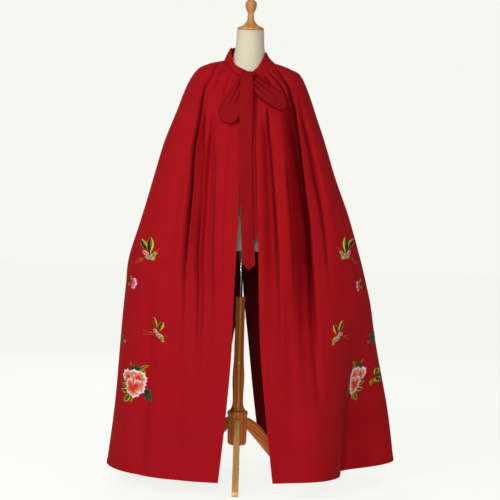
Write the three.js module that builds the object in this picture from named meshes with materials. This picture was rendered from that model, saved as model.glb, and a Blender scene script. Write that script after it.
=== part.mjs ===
// An opera cape with a band collar and a tied bow, worn by a linen dress form
// on a turned wooden tripod stand.
// Millimetres, +Z up, the front towards -Y. Left and right are the wearer's: left is +X.
import * as THREE from 'three';
import { mergeVertices } from 'three/addons/utils/BufferGeometryUtils.js';

// Driving dimensions
const CLOTH = 1.5; // wall of the cape and the ties
const BAND = 2.5; // wall of the stiffened collar band
const SEAM_GAP = 0.3; // space between two sewn pieces
const SIDE_SEAM = THREE.MathUtils.degToRad(100); // angle of the side seams from the front
const GATHER_COUNT = 25; // gathers all round the collar seam
const GATHER_RISE = 4.5; // how far a gather stands out
const FORM_CLEARANCE = 1; // between the form's shoulders and the inside of the cloth
const CAPE_COLUMNS = { front: 30, back: 26 }; // mesh columns of a panel

const COLOURS = {
  cloth: { color: 0xa3131c, roughness: 0.62, metalness: 0 },
  linen: { color: 0xd3cdb4, roughness: 0.9, metalness: 0 },
  wood: { color: 0x8f4423, roughness: 0.45, metalness: 0 },
  paleWood: { color: 0xc9904f, roughness: 0.5, metalness: 0 },
  steel: { color: 0xb9b4ae, roughness: 0.25, metalness: 1 },
};

// A table with named columns, a record to a row.
const table = (columns, rows) =>
  rows.map((row) => Object.fromEntries(columns.map((name, i) => [name, row[i]])));

// The cape's cross-sections, from the collar seam to the hem. Each is an ellipse in plan round a
// middle at x, with its own reach to the left, right, front and back, whose height changes from the
// front to the sides and the back. edgeR and edgeL place the two front edges, and vent is half the
// width of the slit in the back, all from the middle.
const SECTIONS = table(
  [
    'name', 'x', 'zFront', 'zLeft', 'zRight', 'zBack', 'left',
    'right', 'front', 'back', 'edgeR', 'edgeL', 'vent',
  ],
  [
    ['seam', 12, 1372, 1434, 1440, 1468, 88, 88, 88, 80, -4, 4, 0],
    ['neck', 12, 1354, 1429, 1438, 1456, 112, 114, 103, 96, -6, 6, 0],
    ['yoke', 12, 1328, 1420, 1431, 1432, 141, 144, 119, 111, -9, 8, 0],
    ['shoulder', 12, 1285, 1400, 1409, 1390, 173, 178, 134, 125, -12, 11, 0],
    ['arm', 11, 1240, 1355, 1362, 1335, 199, 208, 146, 136, -15, 15, 0],
    ['bust', 10, 1190, 1270, 1276, 1255, 231, 241, 157, 148, -17, 21, 0],
    ['ribs', 9, 1110, 1150, 1152, 1140, 275, 284, 172, 162, -17, 30, 0],
    ['waist', 7, 1010, 1020, 1020, 1015, 320, 319, 188, 178, -16, 37, 0],
    ['hip', 6, 890, 890, 890, 890, 369, 354, 203, 197, -17, 44, 0],
    ['bend', 5, 765, 765, 750, 765, 406, 392, 219, 218, -20, 52, 0],
    ['thigh', 4, 640, 638, 652, 640, 438, 401, 234, 240, -23, 57, 4],
    ['knee', 2, 460, 458, 466, 460, 479, 412, 257, 268, -24, 69, 28],
    ['calf', 1, 260, 263, 262, 262, 521, 424, 282, 300, -36, 91, 52],
    ['hem', 0, 58, 77, 54, 64, 549, 445, 308, 328, -54, 118, 80],
  ],
);
const HEM = SECTIONS.length - 1;
const BUST = 5; // the section where a fold's middle angle holds
// Where the mesh has a row of points, in section numbers: closer over the shoulder and the bend.
const MESH_ROWS = [0, 1, 2, 2.5, 3, 3.5, 4, 4.5, 5, 6, 7, 8, 8.5, 9, 9.5, 10, 11, 12, 13];

// The large folds. Angles are in degrees from the front, plus towards the wearer's left, at the
// collar, the bust and the hem. The trough is deep by depth from the section full to the section
// fade, starts and ends softly at start and end, and reaches minus and plus degrees to either side.
// A depth below zero is a ridge.
const FOLDS = table(
  ['collar', 'bust', 'hem', 'start', 'full', 'fade', 'end', 'depth', 'minus', 'plus'],
  [
    [-74, -37, -24, 3.2, 5.4, 8.0, 11.5, 40, 9, 6],
    [-52, -30, -17, 4.0, 6.0, 8.5, 12.5, 36, 6, 8],
    [-84, -62, -46, 9.0, 11.0, 12.0, 14.0, 13, 11, 9],
    [-50, -44, -25, 9.4, 11.4, 12.0, 14.0, 10, 8, 8],
    [20, 16, 15, 4.0, 6.0, 8.5, 11.5, 20, 6, 9],
    [62, 41, 31, 3.4, 5.6, 8.5, 12.5, 52, 15, 6],
    [74, 54, 44, 4.0, 5.6, 6.5, 9.0, 16, 6, 8],
    [34, 30, 27, 10, 13, 16, 17, -20, 13, 12],
    [76, 72, 54, 10, 13, 16, 17, 145, 24, 46],
    [-104, -98, -94, 5.2, 8.5, 16, 17, 30, 9, 8],
    [104, 110, 104, 5.4, 8.5, 16, 17, 34, 10, 10],
    [-120, -120, -116, 4.0, 7.0, 16, 17, 52, 12, 9],
    [-140, -140, -136, 3.8, 6.6, 16, 17, 44, 9, 12],
    [-156, -158, -157, 4.2, 6.6, 11.0, 13.8, 32, 8, 8],
    [-172, -171, -170, 4.6, 6.6, 8.0, 10.5, 18, 5, 7],
    [171, 169, 170, 4.2, 6.2, 7.5, 10, 20, 7, 5],
    [152, 153, 152, 3.8, 6.4, 11.5, 15, 38, 9, 8],
    [129, 132, 127, 4.0, 7.0, 16, 17, 50, 11, 9],
  ],
);

// Catmull-Rom through one column of a table, at a real row number.
function along(table, column, row) {
  const last = table.length - 1;
  const i = Math.min(Math.floor(row), last - 1);
  const t = row - i;
  const at = (k) => table[THREE.MathUtils.clamp(k, 0, last)][column];
  const [a, b, c, d] = [at(i - 1), at(i), at(i + 1), at(i + 2)];
  const bend = 2 * a - 5 * b + 4 * c - d + t * (3 * (b - c) + d - a);
  return b + 0.5 * t * (c - a + t * bend);
}

const smooth = (low, high, x) => THREE.MathUtils.smoothstep(x, low, high);
const radians = THREE.MathUtils.degToRad;

// The parabola through a fold's angle at the collar, the bust and the hem.
function foldAngle(fold, row) {
  const atCollar = ((row - BUST) * (row - HEM)) / (BUST * HEM);
  const atBust = (row * (row - HEM)) / (BUST * (BUST - HEM));
  const atHem = (row * (row - BUST)) / (HEM * (HEM - BUST));
  return radians(fold.collar * atCollar + fold.bust * atBust + fold.hem * atHem);
}

// How much of a fold is felt at an angle and a section, from 0 to 1: a rounded trough, its two sides
// of different width, that starts and ends softly along the cloth.
function foldShare(fold, angle, row) {
  const turn = angle - foldAngle(fold, row);
  const away = Math.atan2(Math.sin(turn), Math.cos(turn));
  const share = Math.min(1, Math.abs(away) / radians(away < 0 ? fold.minus : fold.plus));
  const across = Math.pow(0.5 + 0.5 * Math.cos(Math.PI * share), 1.3);
  return across * smooth(fold.start, fold.full, row) * (1 - smooth(fold.fade, fold.end, row));
}

// The smooth form that the cloth drapes on: a point of the ellipse of one section.
function envelope(angle, row) {
  const s = Math.sin(angle);
  const c = Math.cos(angle);
  const reach = along(SECTIONS, s > 0 ? 'left' : 'right', row);
  const depth = along(SECTIONS, c > 0 ? 'front' : 'back', row);
  const zSide = along(SECTIONS, s > 0 ? 'zLeft' : 'zRight', row);
  const zMiddle = along(SECTIONS, c > 0 ? 'zFront' : 'zBack', row);
  const x = along(SECTIONS, 'x', row) + reach * s;
  return new THREE.Vector3(x, -depth * c, zSide * s * s + zMiddle * c * c);
}

// The outward normal of a surface given as a function of two numbers, by finite differences.
function normalOf(surface, u, v) {
  const step = 0.01;
  const du = surface(u + step, v).sub(surface(u - step, v));
  const dv = surface(u, v + step).sub(surface(u, Math.max(v - step, 0)));
  return dv.cross(du).normalize();
}

// Gathers are full behind and on the left front, and nearly smooth on the right front.
function gatherHeight(angle, row) {
  const rightFront = smooth(radians(-62), radians(-48), angle);
  const smoothFront = rightFront * (1 - smooth(radians(-2), radians(8), angle));
  const wave = 0.5 + 0.5 * Math.cos(GATHER_COUNT * angle + 0.8 * Math.sin(3 * angle));
  const strength = smooth(0, 1.2, row) * (1 - smooth(2.2, 5.4, row));
  return GATHER_RISE * wave * strength * (1 - 0.8 * smoothFront);
}

// The cape's outer surface.
function capePoint(angle, row) {
  const inward = FOLDS.reduce((sum, fold) => sum + fold.depth * foldShare(fold, angle, row), 0);
  const out = gatherHeight(angle, row) - inward;
  return envelope(angle, row).addScaledVector(normalOf(envelope, angle, row), out);
}

// The point a given distance out from the smooth front of the cape, at a given x and height.
function overFront(x, z, out) {
  let [angle, row] = [0, 0];
  for (let pass = 0; pass < 8; pass++) {
    let [low, high] = [0, HEM];
    for (let halving = 0; halving < 24; halving++) {
      row = (low + high) / 2;
      if (envelope(angle, row).z > z) low = row;
      else high = row;
    }
    const reach = along(SECTIONS, x > 0 ? 'left' : 'right', row);
    angle = Math.asin((x - along(SECTIONS, 'x', row)) / reach);
  }
  return envelope(angle, row).addScaledVector(normalOf(envelope, angle, row), out);
}

// The grid of points that lies a wall's thickness behind another. rows[j][i] runs down and across.
function behind(rows, thickness) {
  const [lastRow, lastPoint] = [rows.length - 1, rows[0].length - 1];
  return rows.map((row, j) =>
    row.map((p, i) => {
      const du = row[Math.min(i + 1, lastPoint)].clone().sub(row[Math.max(i - 1, 0)]);
      const dv = rows[Math.min(j + 1, lastRow)][i].clone().sub(rows[Math.max(j - 1, 0)][i]);
      return p.clone().addScaledVector(dv.cross(du).normalize(), -thickness);
    }),
  );
}

// A closed solid between a grid of outer points and the grid of inner points behind it.
function wall(outerRows, innerRows) {
  const across = outerRows[0].length;
  const down = outerRows.length;
  const outer = outerRows.flat();
  const inner = innerRows.flat();
  const index = [];
  const quad = (a, b, c, d) => index.push(a, b, c, a, c, d);
  const back = outer.length;
  const id = (i, j) => j * across + i;
  for (let j = 0; j < down - 1; j++) {
    for (let i = 0; i < across - 1; i++) {
      quad(id(i, j), id(i, j + 1), id(i + 1, j + 1), id(i + 1, j));
      quad(back + id(i, j), back + id(i + 1, j), back + id(i + 1, j + 1), back + id(i, j + 1));
    }
  }
  const rim = (a, b) => quad(a, b, back + b, back + a);
  for (let i = 0; i < across - 1; i++) {
    rim(id(i, 0), id(i + 1, 0));
    rim(id(i + 1, down - 1), id(i, down - 1));
  }
  for (let j = 0; j < down - 1; j++) {
    // both ends are split along the same diagonal, so that two sewn panels face evenly
    const [a, b] = [id(across - 1, j), id(across - 1, j + 1)];
    rim(id(0, j + 1), id(0, j));
    index.push(a, b, back + a, b, back + b, back + a);
  }
  return indexed([...outer, ...inner], index);
}

// A closed solid through rings of points, each given from the front round by the left, capped flat.
function loft(rings) {
  const around = rings[0].length;
  const points = rings.flat();
  const index = [];
  for (let j = 0; j < rings.length - 1; j++) {
    for (let i = 0; i < around; i++) {
      const [a, b] = [j * around + i, j * around + ((i + 1) % around)];
      index.push(a, a + around, b + around, a, b + around, b);
    }
  }
  for (const [ring, turn] of [[0, 1], [rings.length - 1, -1]]) {
    const sum = rings[ring].reduce((total, p) => total.add(p), new THREE.Vector3());
    points.push(sum.divideScalar(around));
    for (let i = 0; i < around; i++) {
      const [a, b] = [ring * around + i, ring * around + ((i + 1) % around)];
      index.push(points.length - 1, ...(turn > 0 ? [a, b] : [b, a]));
    }
  }
  return indexed(points, index);
}

function indexed(points, index) {
  const geometry = new THREE.BufferGeometry().setFromPoints(points).setIndex(index);
  geometry.computeVertexNormals();
  return geometry;
}

const cape = new THREE.Group();

function add(name, geometry, look, position = [0, 0, 0], turn = 0) {
  const mesh = new THREE.Mesh(geometry, new THREE.MeshStandardMaterial(COLOURS[look]));
  mesh.name = name;
  mesh.position.set(...position);
  mesh.rotation.z = turn;
  cape.add(mesh);
  return mesh;
}

// One panel of the cape between two edges, each given as an angle at a section.
function capePanel(name, columns, lowEdge, highEdge) {
  const grid = (point) =>
    MESH_ROWS.map((row) => {
      const [low, high] = [lowEdge(row), highEdge(row)];
      const place = (_, i) => point(low + ((high - low) * i) / columns, row);
      return Array.from({ length: columns + 1 }, place);
    });
  const inside = (angle, row) =>
    capePoint(angle, row).addScaledVector(normalOf(capePoint, angle, row), -CLOTH);
  add(name, wall(grid(capePoint), grid(inside)), 'cloth');
}

const halfSeam = (row) => SEAM_GAP / 2 / along(SECTIONS, 'front', row);
const frontEdge = (column, side, row) =>
  Math.asin(along(SECTIONS, column, row) / along(SECTIONS, side, row));
const ventAngle = (side, row) => {
  const half = Math.max(SEAM_GAP / 2, along(SECTIONS, 'vent', row));
  return Math.PI - Math.asin(half / along(SECTIONS, side, row));
};

function capePanels() {
  const { front, back } = CAPE_COLUMNS;
  const leftEdge = (row) => frontEdge('edgeL', 'left', row);
  const rightEdge = (row) => frontEdge('edgeR', 'right', row);
  const before = (row) => SIDE_SEAM - halfSeam(row);
  const beyond = (row) => SIDE_SEAM + halfSeam(row);
  capePanel('front_left', front, leftEdge, before);
  capePanel('back_left', back, beyond, (row) => ventAngle('left', row));
  capePanel('back_right', back, (row) => -ventAngle('right', row), (row) => -beyond(row));
  capePanel('front_right', front, (row) => -before(row), rightEdge);
}

// The band collar: it stands on the seam and leans in to its top edge, higher on the right.
const COLLAR = table(
  ['x', 'zFront', 'zLeft', 'zRight', 'zBack', 'left', 'right', 'front', 'back'],
  [
    [12, 1391, 1474, 1487, 1506, 57, 66, 78, 62],
    [12, 1382, 1452, 1462, 1488, 68, 78, 84, 71],
    [12, 1372.5, 1434.5, 1440.5, 1468.5, 88, 88, 88, 80],
  ],
);
const COLLAR_END = radians(2); // each end stops this far from the middle of the front

function collarBand() {
  const columns = 56;
  const rows = COLLAR.map((row) =>
    Array.from({ length: columns + 1 }, (_, i) => {
      const angle = COLLAR_END + ((2 * Math.PI - 2 * COLLAR_END) * i) / columns;
      const [s, c] = [Math.sin(angle), Math.cos(angle)];
      const side = s > 0 ? [row.left, row.zLeft] : [row.right, row.zRight];
      const middle = c > 0 ? [row.front, row.zFront] : [row.back, row.zBack];
      const z = side[1] * s * s + middle[1] * c * c;
      return new THREE.Vector3(row.x + side[0] * s, -middle[0] * c, z);
    }),
  );
  add('collar_band', wall(rows, behind(rows, BAND)), 'cloth');
}

const KNOT = { x: 8, z: 1374, out: 9.6, half: [21, 8, 18], lean: radians(32) };

function knot() {
  const geometry = new THREE.SphereGeometry(1, 14, 10);
  const position = geometry.getAttribute('position');
  const boxy = (value) => Math.sign(value) * Math.pow(Math.abs(value), 0.72);
  for (let i = 0; i < position.count; i++) {
    const [x, y, z] = [position.getX(i), position.getY(i), position.getZ(i)];
    const [halfX, halfY, halfZ] = KNOT.half;
    position.setXYZ(i, halfX * boxy(x), -halfY * z, halfZ * boxy(y) * (1 - 0.12 * x * x));
  }
  geometry.rotateX(-KNOT.lean);
  geometry.deleteAttribute('normal');
  geometry.deleteAttribute('uv');
  const seat = overFront(KNOT.x, KNOT.z, KNOT.out).toArray();
  add('bow_knot', mergeVertices(geometry, 0.01), 'cloth', seat);
}

// A loop of the tie: it leaves the knot, turns round at its tip and comes back, open at both
// sides. x and z are its root, and heading is its direction in degrees from sideways to straight
// down. It is root, middle and tip wide there, its under layer lies low from the cape and its
// upper layer stands puff higher.
const LOOPS = table(
  ['name', 'x', 'z', 'heading', 'length', 'root', 'middle', 'tip', 'low', 'puff'],
  [
    ['bow_loop_right', -2, 1357, 113, 164, 30, 56, 56, 2.8, 15],
    ['bow_loop_left', 24, 1350, 43, 125, 32, 58, 34, 3.8, 15],
  ],
);
const LOOP_OPEN = 0.36; // how far the two ends of a loop stay apart, as an angle of its turn
const CHEST_SLOPE = 0.93; // the drop for each step down the slope of the chest

function bowLoop(loop) {
  const [headX, headDown] = [Math.cos(radians(loop.heading)), Math.sin(radians(loop.heading))];
  const [steps, strands] = [20, 5];
  const rows = Array.from({ length: steps + 1 }, (_, j) => {
    const turn = LOOP_OPEN + ((2 * Math.PI - 2 * LOOP_OPEN) * j) / steps;
    const far = (1 - Math.cos(turn)) / 2;
    const ends = loop.root * (1 - far) * (1 - 2 * far) + loop.tip * far * (2 * far - 1);
    const width = ends + 4 * loop.middle * far * (1 - far);
    return Array.from({ length: strands + 1 }, (_, i) => {
      const q = (2 * i) / strands - 1;
      const [reach, aside] = [loop.length * far, (q * width) / 2];
      const layer = 0.5 + 0.5 * Math.sin(turn) * Math.min(1, 0.4 + far);
      return overFront(
        loop.x + reach * headX + aside * headDown,
        loop.z - (reach * headDown - aside * headX) * CHEST_SLOPE,
        loop.low + loop.puff * layer,
      );
    });
  });
  add(loop.name, wall(rows, behind(rows, CLOTH)), 'cloth');
}

// The hanging ends of the tie: stations down the middle line, with how wide it is and how far out
// from the cape it hangs, and how much longer its point is.
const TIE_ENDS = [
  {
    name: 'tie_end_front',
    point: 18,
    stations: table(['x', 'z', 'width', 'out'], [
      [7, 1392, 30, 18],
      [6, 1378, 36, 22],
      [5, 1358, 40, 22],
      [5, 1325, 42, 21.5],
      [5, 1285, 42, 21.5],
      [5, 1240, 42, 21],
      [6, 1190, 42, 14],
      [7, 1130, 41, 8],
      [9, 1060, 40, 6],
      [12, 980, 40, 5.5],
      [17, 890, 40, 5],
      [22, 800, 41, 5],
      [27, 742, 41, 5],
    ]),
  },
  {
    name: 'tie_end_back',
    point: 16,
    stations: table(['x', 'z', 'width', 'out'], [
      [14, 1335, 30, 4],
      [15, 1300, 34, 4],
      [17, 1240, 38, 4],
      [19, 1190, 39, 3],
      [20, 1130, 39, 3],
      [22, 1060, 39, 2.5],
      [26, 980, 39, 2],
      [30, 900, 40, 2],
      [32, 832, 40, 2],
    ]),
  },
];

function tieEnd({ name, point, stations }) {
  const strands = 4;
  const steps = 2 * (stations.length - 1);
  const rows = Array.from({ length: steps + 1 }, (_, j) => {
    const row = Math.min(j / 2, stations.length - 1);
    const at = (column) => along(stations, column, row);
    return Array.from({ length: strands + 1 }, (_, i) => {
      const q = (2 * i) / strands - 1;
      const drop = j === steps ? point * (1 - Math.abs(q)) : 0;
      return overFront(at('x') + (q * at('width')) / 2, at('z') - drop, at('out'));
    });
  });
  add(name, wall(rows, behind(rows, CLOTH)), 'cloth');
}

// The dress form: rings from the top of the neck to the flat base. The shoulders follow the cape's own
// sections, moved in by the cloth and a clearance, so that the cape rests on them.
const FORM_NECK = table(
  ['x', 'zFront', 'zSide', 'zBack', 'side', 'front', 'back'],
  [
    [12.5, 1546, 1546, 1546, 47, 58, 42],
    [12.5, 1500, 1512, 1518, 48, 59, 45],
    [12, 1440, 1481, 1500, 51, 61, 50],
    [12, 1396, 1449, 1474, 59, 63, 56],
  ],
);
const FORM_SHOULDER_ROWS = [0, 1, 2, 2.5, 3, 3.5];
const FORM_BODY = table(
  ['x', 'zFront', 'zSide', 'zBack', 'side', 'front', 'back'],
  [
    [11, 1236, 1362, 1325, 178, 142, 130],
    [10, 1222, 1318, 1285, 168, 148, 126],
    [8, 1205, 1225, 1220, 151, 150, 116],
    [6, 1130, 1135, 1135, 131, 122, 101],
    [5, 1040, 1040, 1040, 113, 93, 84],
    [3, 960, 960, 960, 139, 110, 110],
    [2, 875, 875, 875, 163, 118, 130],
    [1, 810, 810, 810, 159, 113, 127],
    [0, 789, 789, 789, 154, 108, 121],
    [0, 785, 785, 785, 148, 102, 115],
  ],
);
const FORM_BASE = 785;

function dressForm() {
  const around = 40;
  const angles = Array.from({ length: around }, (_, i) => (2 * Math.PI * i) / around);
  const ring = (row) =>
    angles.map((angle) => {
      const [s, c] = [Math.sin(angle), Math.cos(angle)];
      const [depth, z] = c > 0 ? [row.front, row.zFront] : [row.back, row.zBack];
      return new THREE.Vector3(row.x + row.side * s, -depth * c, row.zSide * s * s + z * c * c);
    });
  // both shoulders take the left one's shape, the narrower and lower of the two
  const underCloth = (row) =>
    angles.map((angle) => {
      const leftward = Math.abs(Math.atan2(Math.sin(angle), Math.cos(angle)));
      const normal = normalOf(envelope, leftward, row);
      const p = envelope(leftward, row).addScaledVector(normal, -CLOTH - FORM_CLEARANCE);
      const middle = along(SECTIONS, 'x', row);
      return p.setX(middle + Math.sign(Math.sin(angle)) * (p.x - middle));
    });
  const shoulders = FORM_SHOULDER_ROWS.map(underCloth);
  const rings = [...FORM_NECK.map(ring), ...shoulders, ...FORM_BODY.map(ring)];
  add('dress_form', loft(rings), 'linen');
}

// Turned pieces: radius and height of each point of a profile, from the bottom to the top on the axis.
function turned(name, look, profile, segments, position = [0, 0, 0]) {
  const points = profile.map(([radius, height]) => new THREE.Vector2(radius, height));
  const geometry = new THREE.LatheGeometry(points, segments).rotateX(Math.PI / 2);
  geometry.deleteAttribute('normal');
  geometry.deleteAttribute('uv');
  add(name, mergeVertices(geometry, 0.01), look, position);
}

const NECK_CAP = { x: 12.5, y: -8, z: 1546.3 };
const COLUMN = { foot: 236.4, top: 628 };
const HUB = { radius: 33, foot: 118, top: 236 };
const POLE_RADIUS = 7;
const SCREW = { radius: 3.6, height: 4, seat: 18.2, z: 400 }; // it clamps the pole

const CAP_PROFILE = [
  [0, 0], [44, 0], [46, 2], [46, 5], [42, 8], [27, 14], [16, 22], [11, 30], [10, 36], [12.5, 40],
  [12, 45], [9.5, 50], [11, 58], [15, 68], [18.5, 80], [20, 90], [18.5, 96], [14, 99], [12, 103],
  [8, 107], [0, 108.5],
];
const POLE_PROFILE = [
  [0, COLUMN.top + SEAM_GAP], [POLE_RADIUS, COLUMN.top + SEAM_GAP],
  [POLE_RADIUS, FORM_BASE - SEAM_GAP], [0, FORM_BASE - SEAM_GAP],
];
const COLUMN_PROFILE = [
  [0, COLUMN.foot], [27, COLUMN.foot], [24, 241], [19.5, 250], [17.8, 264], [18.2, 290],
  [19.8, 320], [20.6, 350], [19.4, 380], [17.4, 402], [16.6, 430], [16.2, 552], [17.6, 555],
  [17.6, 560], [16.2, 563], [16.2, 617], [17.6, 620], [17.6, 626], [16, COLUMN.top],
  [0, COLUMN.top],
];
const HUB_PROFILE = [
  [0, HUB.foot], [26, HUB.foot], [31, HUB.foot + 3], [HUB.radius, HUB.foot + 9],
  [HUB.radius, 220], [34.5, 222], [35.5, 227], [34.5, 232], [31, HUB.top], [0, HUB.top],
];

function stand() {
  turned('neck_cap', 'wood', CAP_PROFILE, 20, [NECK_CAP.x, NECK_CAP.y, NECK_CAP.z]);
  turned('pole', 'steel', POLE_PROFILE, 20);
  turned('column', 'wood', COLUMN_PROFILE, 24);
  turned('hub', 'wood', HUB_PROFILE, 28);
  const screw = new THREE.CylinderGeometry(SCREW.radius, SCREW.radius, SCREW.height, 12);
  screw.deleteAttribute('normal');
  screw.deleteAttribute('uv');
  const seat = [0, -SCREW.seat - SEAM_GAP - SCREW.height / 2, SCREW.z];
  add('clamp_screw', mergeVertices(screw, 0.01), 'steel', seat);
}

// A leg: an S-curved board on edge, rooted on the hub, with a flat foot on the floor.
const LEG = {
  thickness: 21.5,
  root: HUB.radius + SEAM_GAP,
  rootTop: 212,
  rootBottom: 173,
  reach: 282,
};

function leg(name, look, azimuth) {
  const outline = new THREE.Shape();
  outline.moveTo(LEG.root, LEG.rootBottom);
  outline.bezierCurveTo(80, 132, 128, 66, 172, 32);
  outline.bezierCurveTo(196, 14, 220, 4, 238, 0);
  outline.lineTo(LEG.reach - 6, 0);
  outline.bezierCurveTo(LEG.reach, 4, LEG.reach, 16, LEG.reach - 8, 20);
  outline.bezierCurveTo(230, 30, 190, 58, 158, 92);
  outline.bezierCurveTo(122, 132, 96, 186, LEG.root, LEG.rootTop);
  outline.closePath();
  const options = { depth: LEG.thickness, bevelEnabled: false, curveSegments: 7 };
  const geometry = new THREE.ExtrudeGeometry(outline, options);
  geometry.translate(0, 0, -LEG.thickness / 2).rotateX(Math.PI / 2);
  add(name, geometry, look, [0, 0, 0], azimuth);
}

capePanels();
collarBand();
knot();
LOOPS.forEach(bowLoop);
TIE_ENDS.forEach(tieEnd);
dressForm();
stand();
leg('leg_front', 'paleWood', radians(-90));
leg('leg_back_left', 'wood', radians(30));
leg('leg_back_right', 'wood', radians(150));

// The origin is on the floor, under the middle of the whole.
const bounds = new THREE.Box3().setFromObject(cape, true);
const middle = bounds.getCenter(new THREE.Vector3());
cape.position.set(-middle.x, -middle.y, -bounds.min.z);

export default cape;
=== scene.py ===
"""Looks of a red opera cape on its linen dress form and stand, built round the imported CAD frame.

Every new surface is worked out as whole numpy arrays from the cape's own sections and folds, in
millimetres round the axis of the stand's column, and is moved into the frame's metres at the end.
"""

import math

import bmesh
import bpy
import numpy as np
from bpy.props import FloatProperty, FloatVectorProperty, IntProperty, PointerProperty
from mathutils import Matrix, Vector


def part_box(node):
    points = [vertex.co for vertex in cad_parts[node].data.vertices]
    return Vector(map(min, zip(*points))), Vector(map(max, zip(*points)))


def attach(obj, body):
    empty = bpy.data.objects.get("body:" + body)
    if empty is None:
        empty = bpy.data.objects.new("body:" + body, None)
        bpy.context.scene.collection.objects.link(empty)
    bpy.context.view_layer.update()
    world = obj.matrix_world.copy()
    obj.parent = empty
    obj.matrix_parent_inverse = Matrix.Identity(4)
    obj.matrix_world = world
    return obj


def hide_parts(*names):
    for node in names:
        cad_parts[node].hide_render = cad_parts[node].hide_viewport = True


bl_info = {
    "name": "Opera Cape on a Dress Form",
    "version": (1, 0, 0),
    "blender": (4, 5, 0),
    "location": "3D View > Sidebar > Opera Cape",
    "description": "Builds the cloth, embroidery, dress form and stand of an opera cape",
    "category": "Object",
}

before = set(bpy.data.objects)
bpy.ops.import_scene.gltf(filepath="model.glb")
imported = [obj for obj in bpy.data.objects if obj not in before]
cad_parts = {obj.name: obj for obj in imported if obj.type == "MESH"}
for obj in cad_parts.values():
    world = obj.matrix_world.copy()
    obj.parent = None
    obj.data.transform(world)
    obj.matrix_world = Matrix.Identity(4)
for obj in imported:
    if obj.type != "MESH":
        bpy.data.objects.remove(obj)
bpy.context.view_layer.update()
COLUMN_LOW, COLUMN_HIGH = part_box("column")
AXIS = (COLUMN_LOW + COLUMN_HIGH) / 2  # the column's axis, which the sections are measured from
MM = 0.001


# Tables

def named(columns, rows):
    """A table with named columns: each column becomes an array."""
    return {name: np.array([row[i] for row in rows], float) for i, name in enumerate(columns.split())}


def named_rows(columns, rows):
    """The same kind of table, with each row as a dictionary."""
    return [dict(zip(columns.split(), row)) for row in rows]


# The cape's cross-sections from the collar seam to the hem, in mm: an ellipse in plan round x, with
# its own reach and height to each side, the places of the two front edges and half the width of the
# vent. The functions of the surface call a section's number row, and it may be a fraction.
SECTIONS = named(
    "x zFront zLeft zRight zBack left right front back edgeR edgeL vent",
    [
        (12, 1372, 1434, 1440, 1468, 88, 88, 88, 80, -4, 4, 0),
        (12, 1354, 1426, 1434, 1456, 112, 114, 103, 96, -6, 6, 0),
        (12, 1328, 1415, 1426, 1432, 141, 144, 119, 111, -9, 8, 0),
        (12, 1285, 1398, 1408, 1390, 173, 178, 134, 125, -12, 11, 0),
        (11, 1240, 1355, 1362, 1335, 199, 208, 146, 136, -15, 15, 0),
        (10, 1190, 1270, 1276, 1255, 231, 241, 157, 148, -17, 21, 0),
        (9, 1110, 1150, 1152, 1140, 275, 284, 172, 162, -17, 30, 0),
        (7, 1010, 1020, 1020, 1015, 320, 319, 188, 178, -16, 37, 0),
        (6, 890, 890, 890, 890, 369, 354, 203, 197, -17, 44, 0),
        (5, 765, 765, 750, 765, 406, 392, 219, 218, -20, 52, 0),
        (4, 640, 638, 652, 640, 438, 401, 234, 240, -23, 57, 4),
        (2, 460, 458, 466, 460, 479, 412, 257, 268, -24, 69, 28),
        (1, 260, 263, 262, 262, 521, 424, 282, 300, -36, 91, 52),
        (0, 53, 76, 53, 64, 549, 445, 308, 328, -54, 118, 80),
    ],
)
BUST, HEM = 5, 13  # their sections
HEM_TOP, HEM_STEP = HEM - 0.1, HEM - 0.085  # where the turned-in hem begins, and is at its full height
HEM_STITCHES = HEM - 0.082
SIDE_SEAM = math.radians(100)
SEAM_GAP = 0.3  # between two panels, in mm
SHOULDER_FLOOR = -0.6  # how far the cloth may sink over the form's shoulders, in mm
GATHERS = 25  # rolls of the gathered seam in a full turn
LEAN = 0.85  # how far the folds of the wearer's left front lean over, as a share of straight back

# Folds: angles in degrees from the front at the collar, the bust and the hem, the sections where the
# trough starts, is full, fades and ends, its depth, and its reach to either side in degrees.
FOLDS = [
    (-74, -37, -24, 3.2, 5.4, 8.0, 11.5, 26, 9, 2.8),
    (-51, -28.5, -16, 4.0, 6.0, 8.5, 12.5, 19, 2.8, 5),
    (-84, -62, -46, 9.0, 11.0, 12.0, 14.0, 13, 11, 9),
    (-50, -44, -25, 9.4, 11.4, 12.0, 14.0, 10, 8, 8),
    (20, 16, 15, 4.0, 6.0, 8.5, 11.5, 20, 6, 9),
    (61, 40.5, 31, 3.4, 5.6, 8.5, 12.5, 50, 13, 4),
    (74, 54, 44, 4.0, 5.6, 6.5, 9.0, 16, 6, 8),
    (34, 30, 27, 10, 13, 16, 17, -20, 13, 12),
    (76, 72, 54, 10, 13, 16, 17, 145, 24, 46),
    (-104, -98, -94, 5.2, 8.5, 16, 17, 30, 9, 8),
    (104, 110, 104, 5.4, 8.5, 16, 17, 34, 10, 10),
    (-120, -120, -116, 4.0, 7.0, 16, 17, 52, 12, 9),
    (-140, -140, -136, 3.8, 6.6, 16, 17, 44, 9, 12),
    (-156, -158, -157, 4.2, 6.6, 11.0, 13.8, 32, 8, 8),
    (-172, -171, -170, 4.6, 6.6, 8.0, 10.5, 18, 5, 7),
    (171, 169, 170, 4.2, 6.2, 7.5, 10, 20, 7, 5),
    (152, 153, 152, 3.8, 6.4, 11.5, 15, 38, 9, 8),
    (129, 132, 127, 4.0, 7.0, 16, 17, 50, 11, 9),
]
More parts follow.
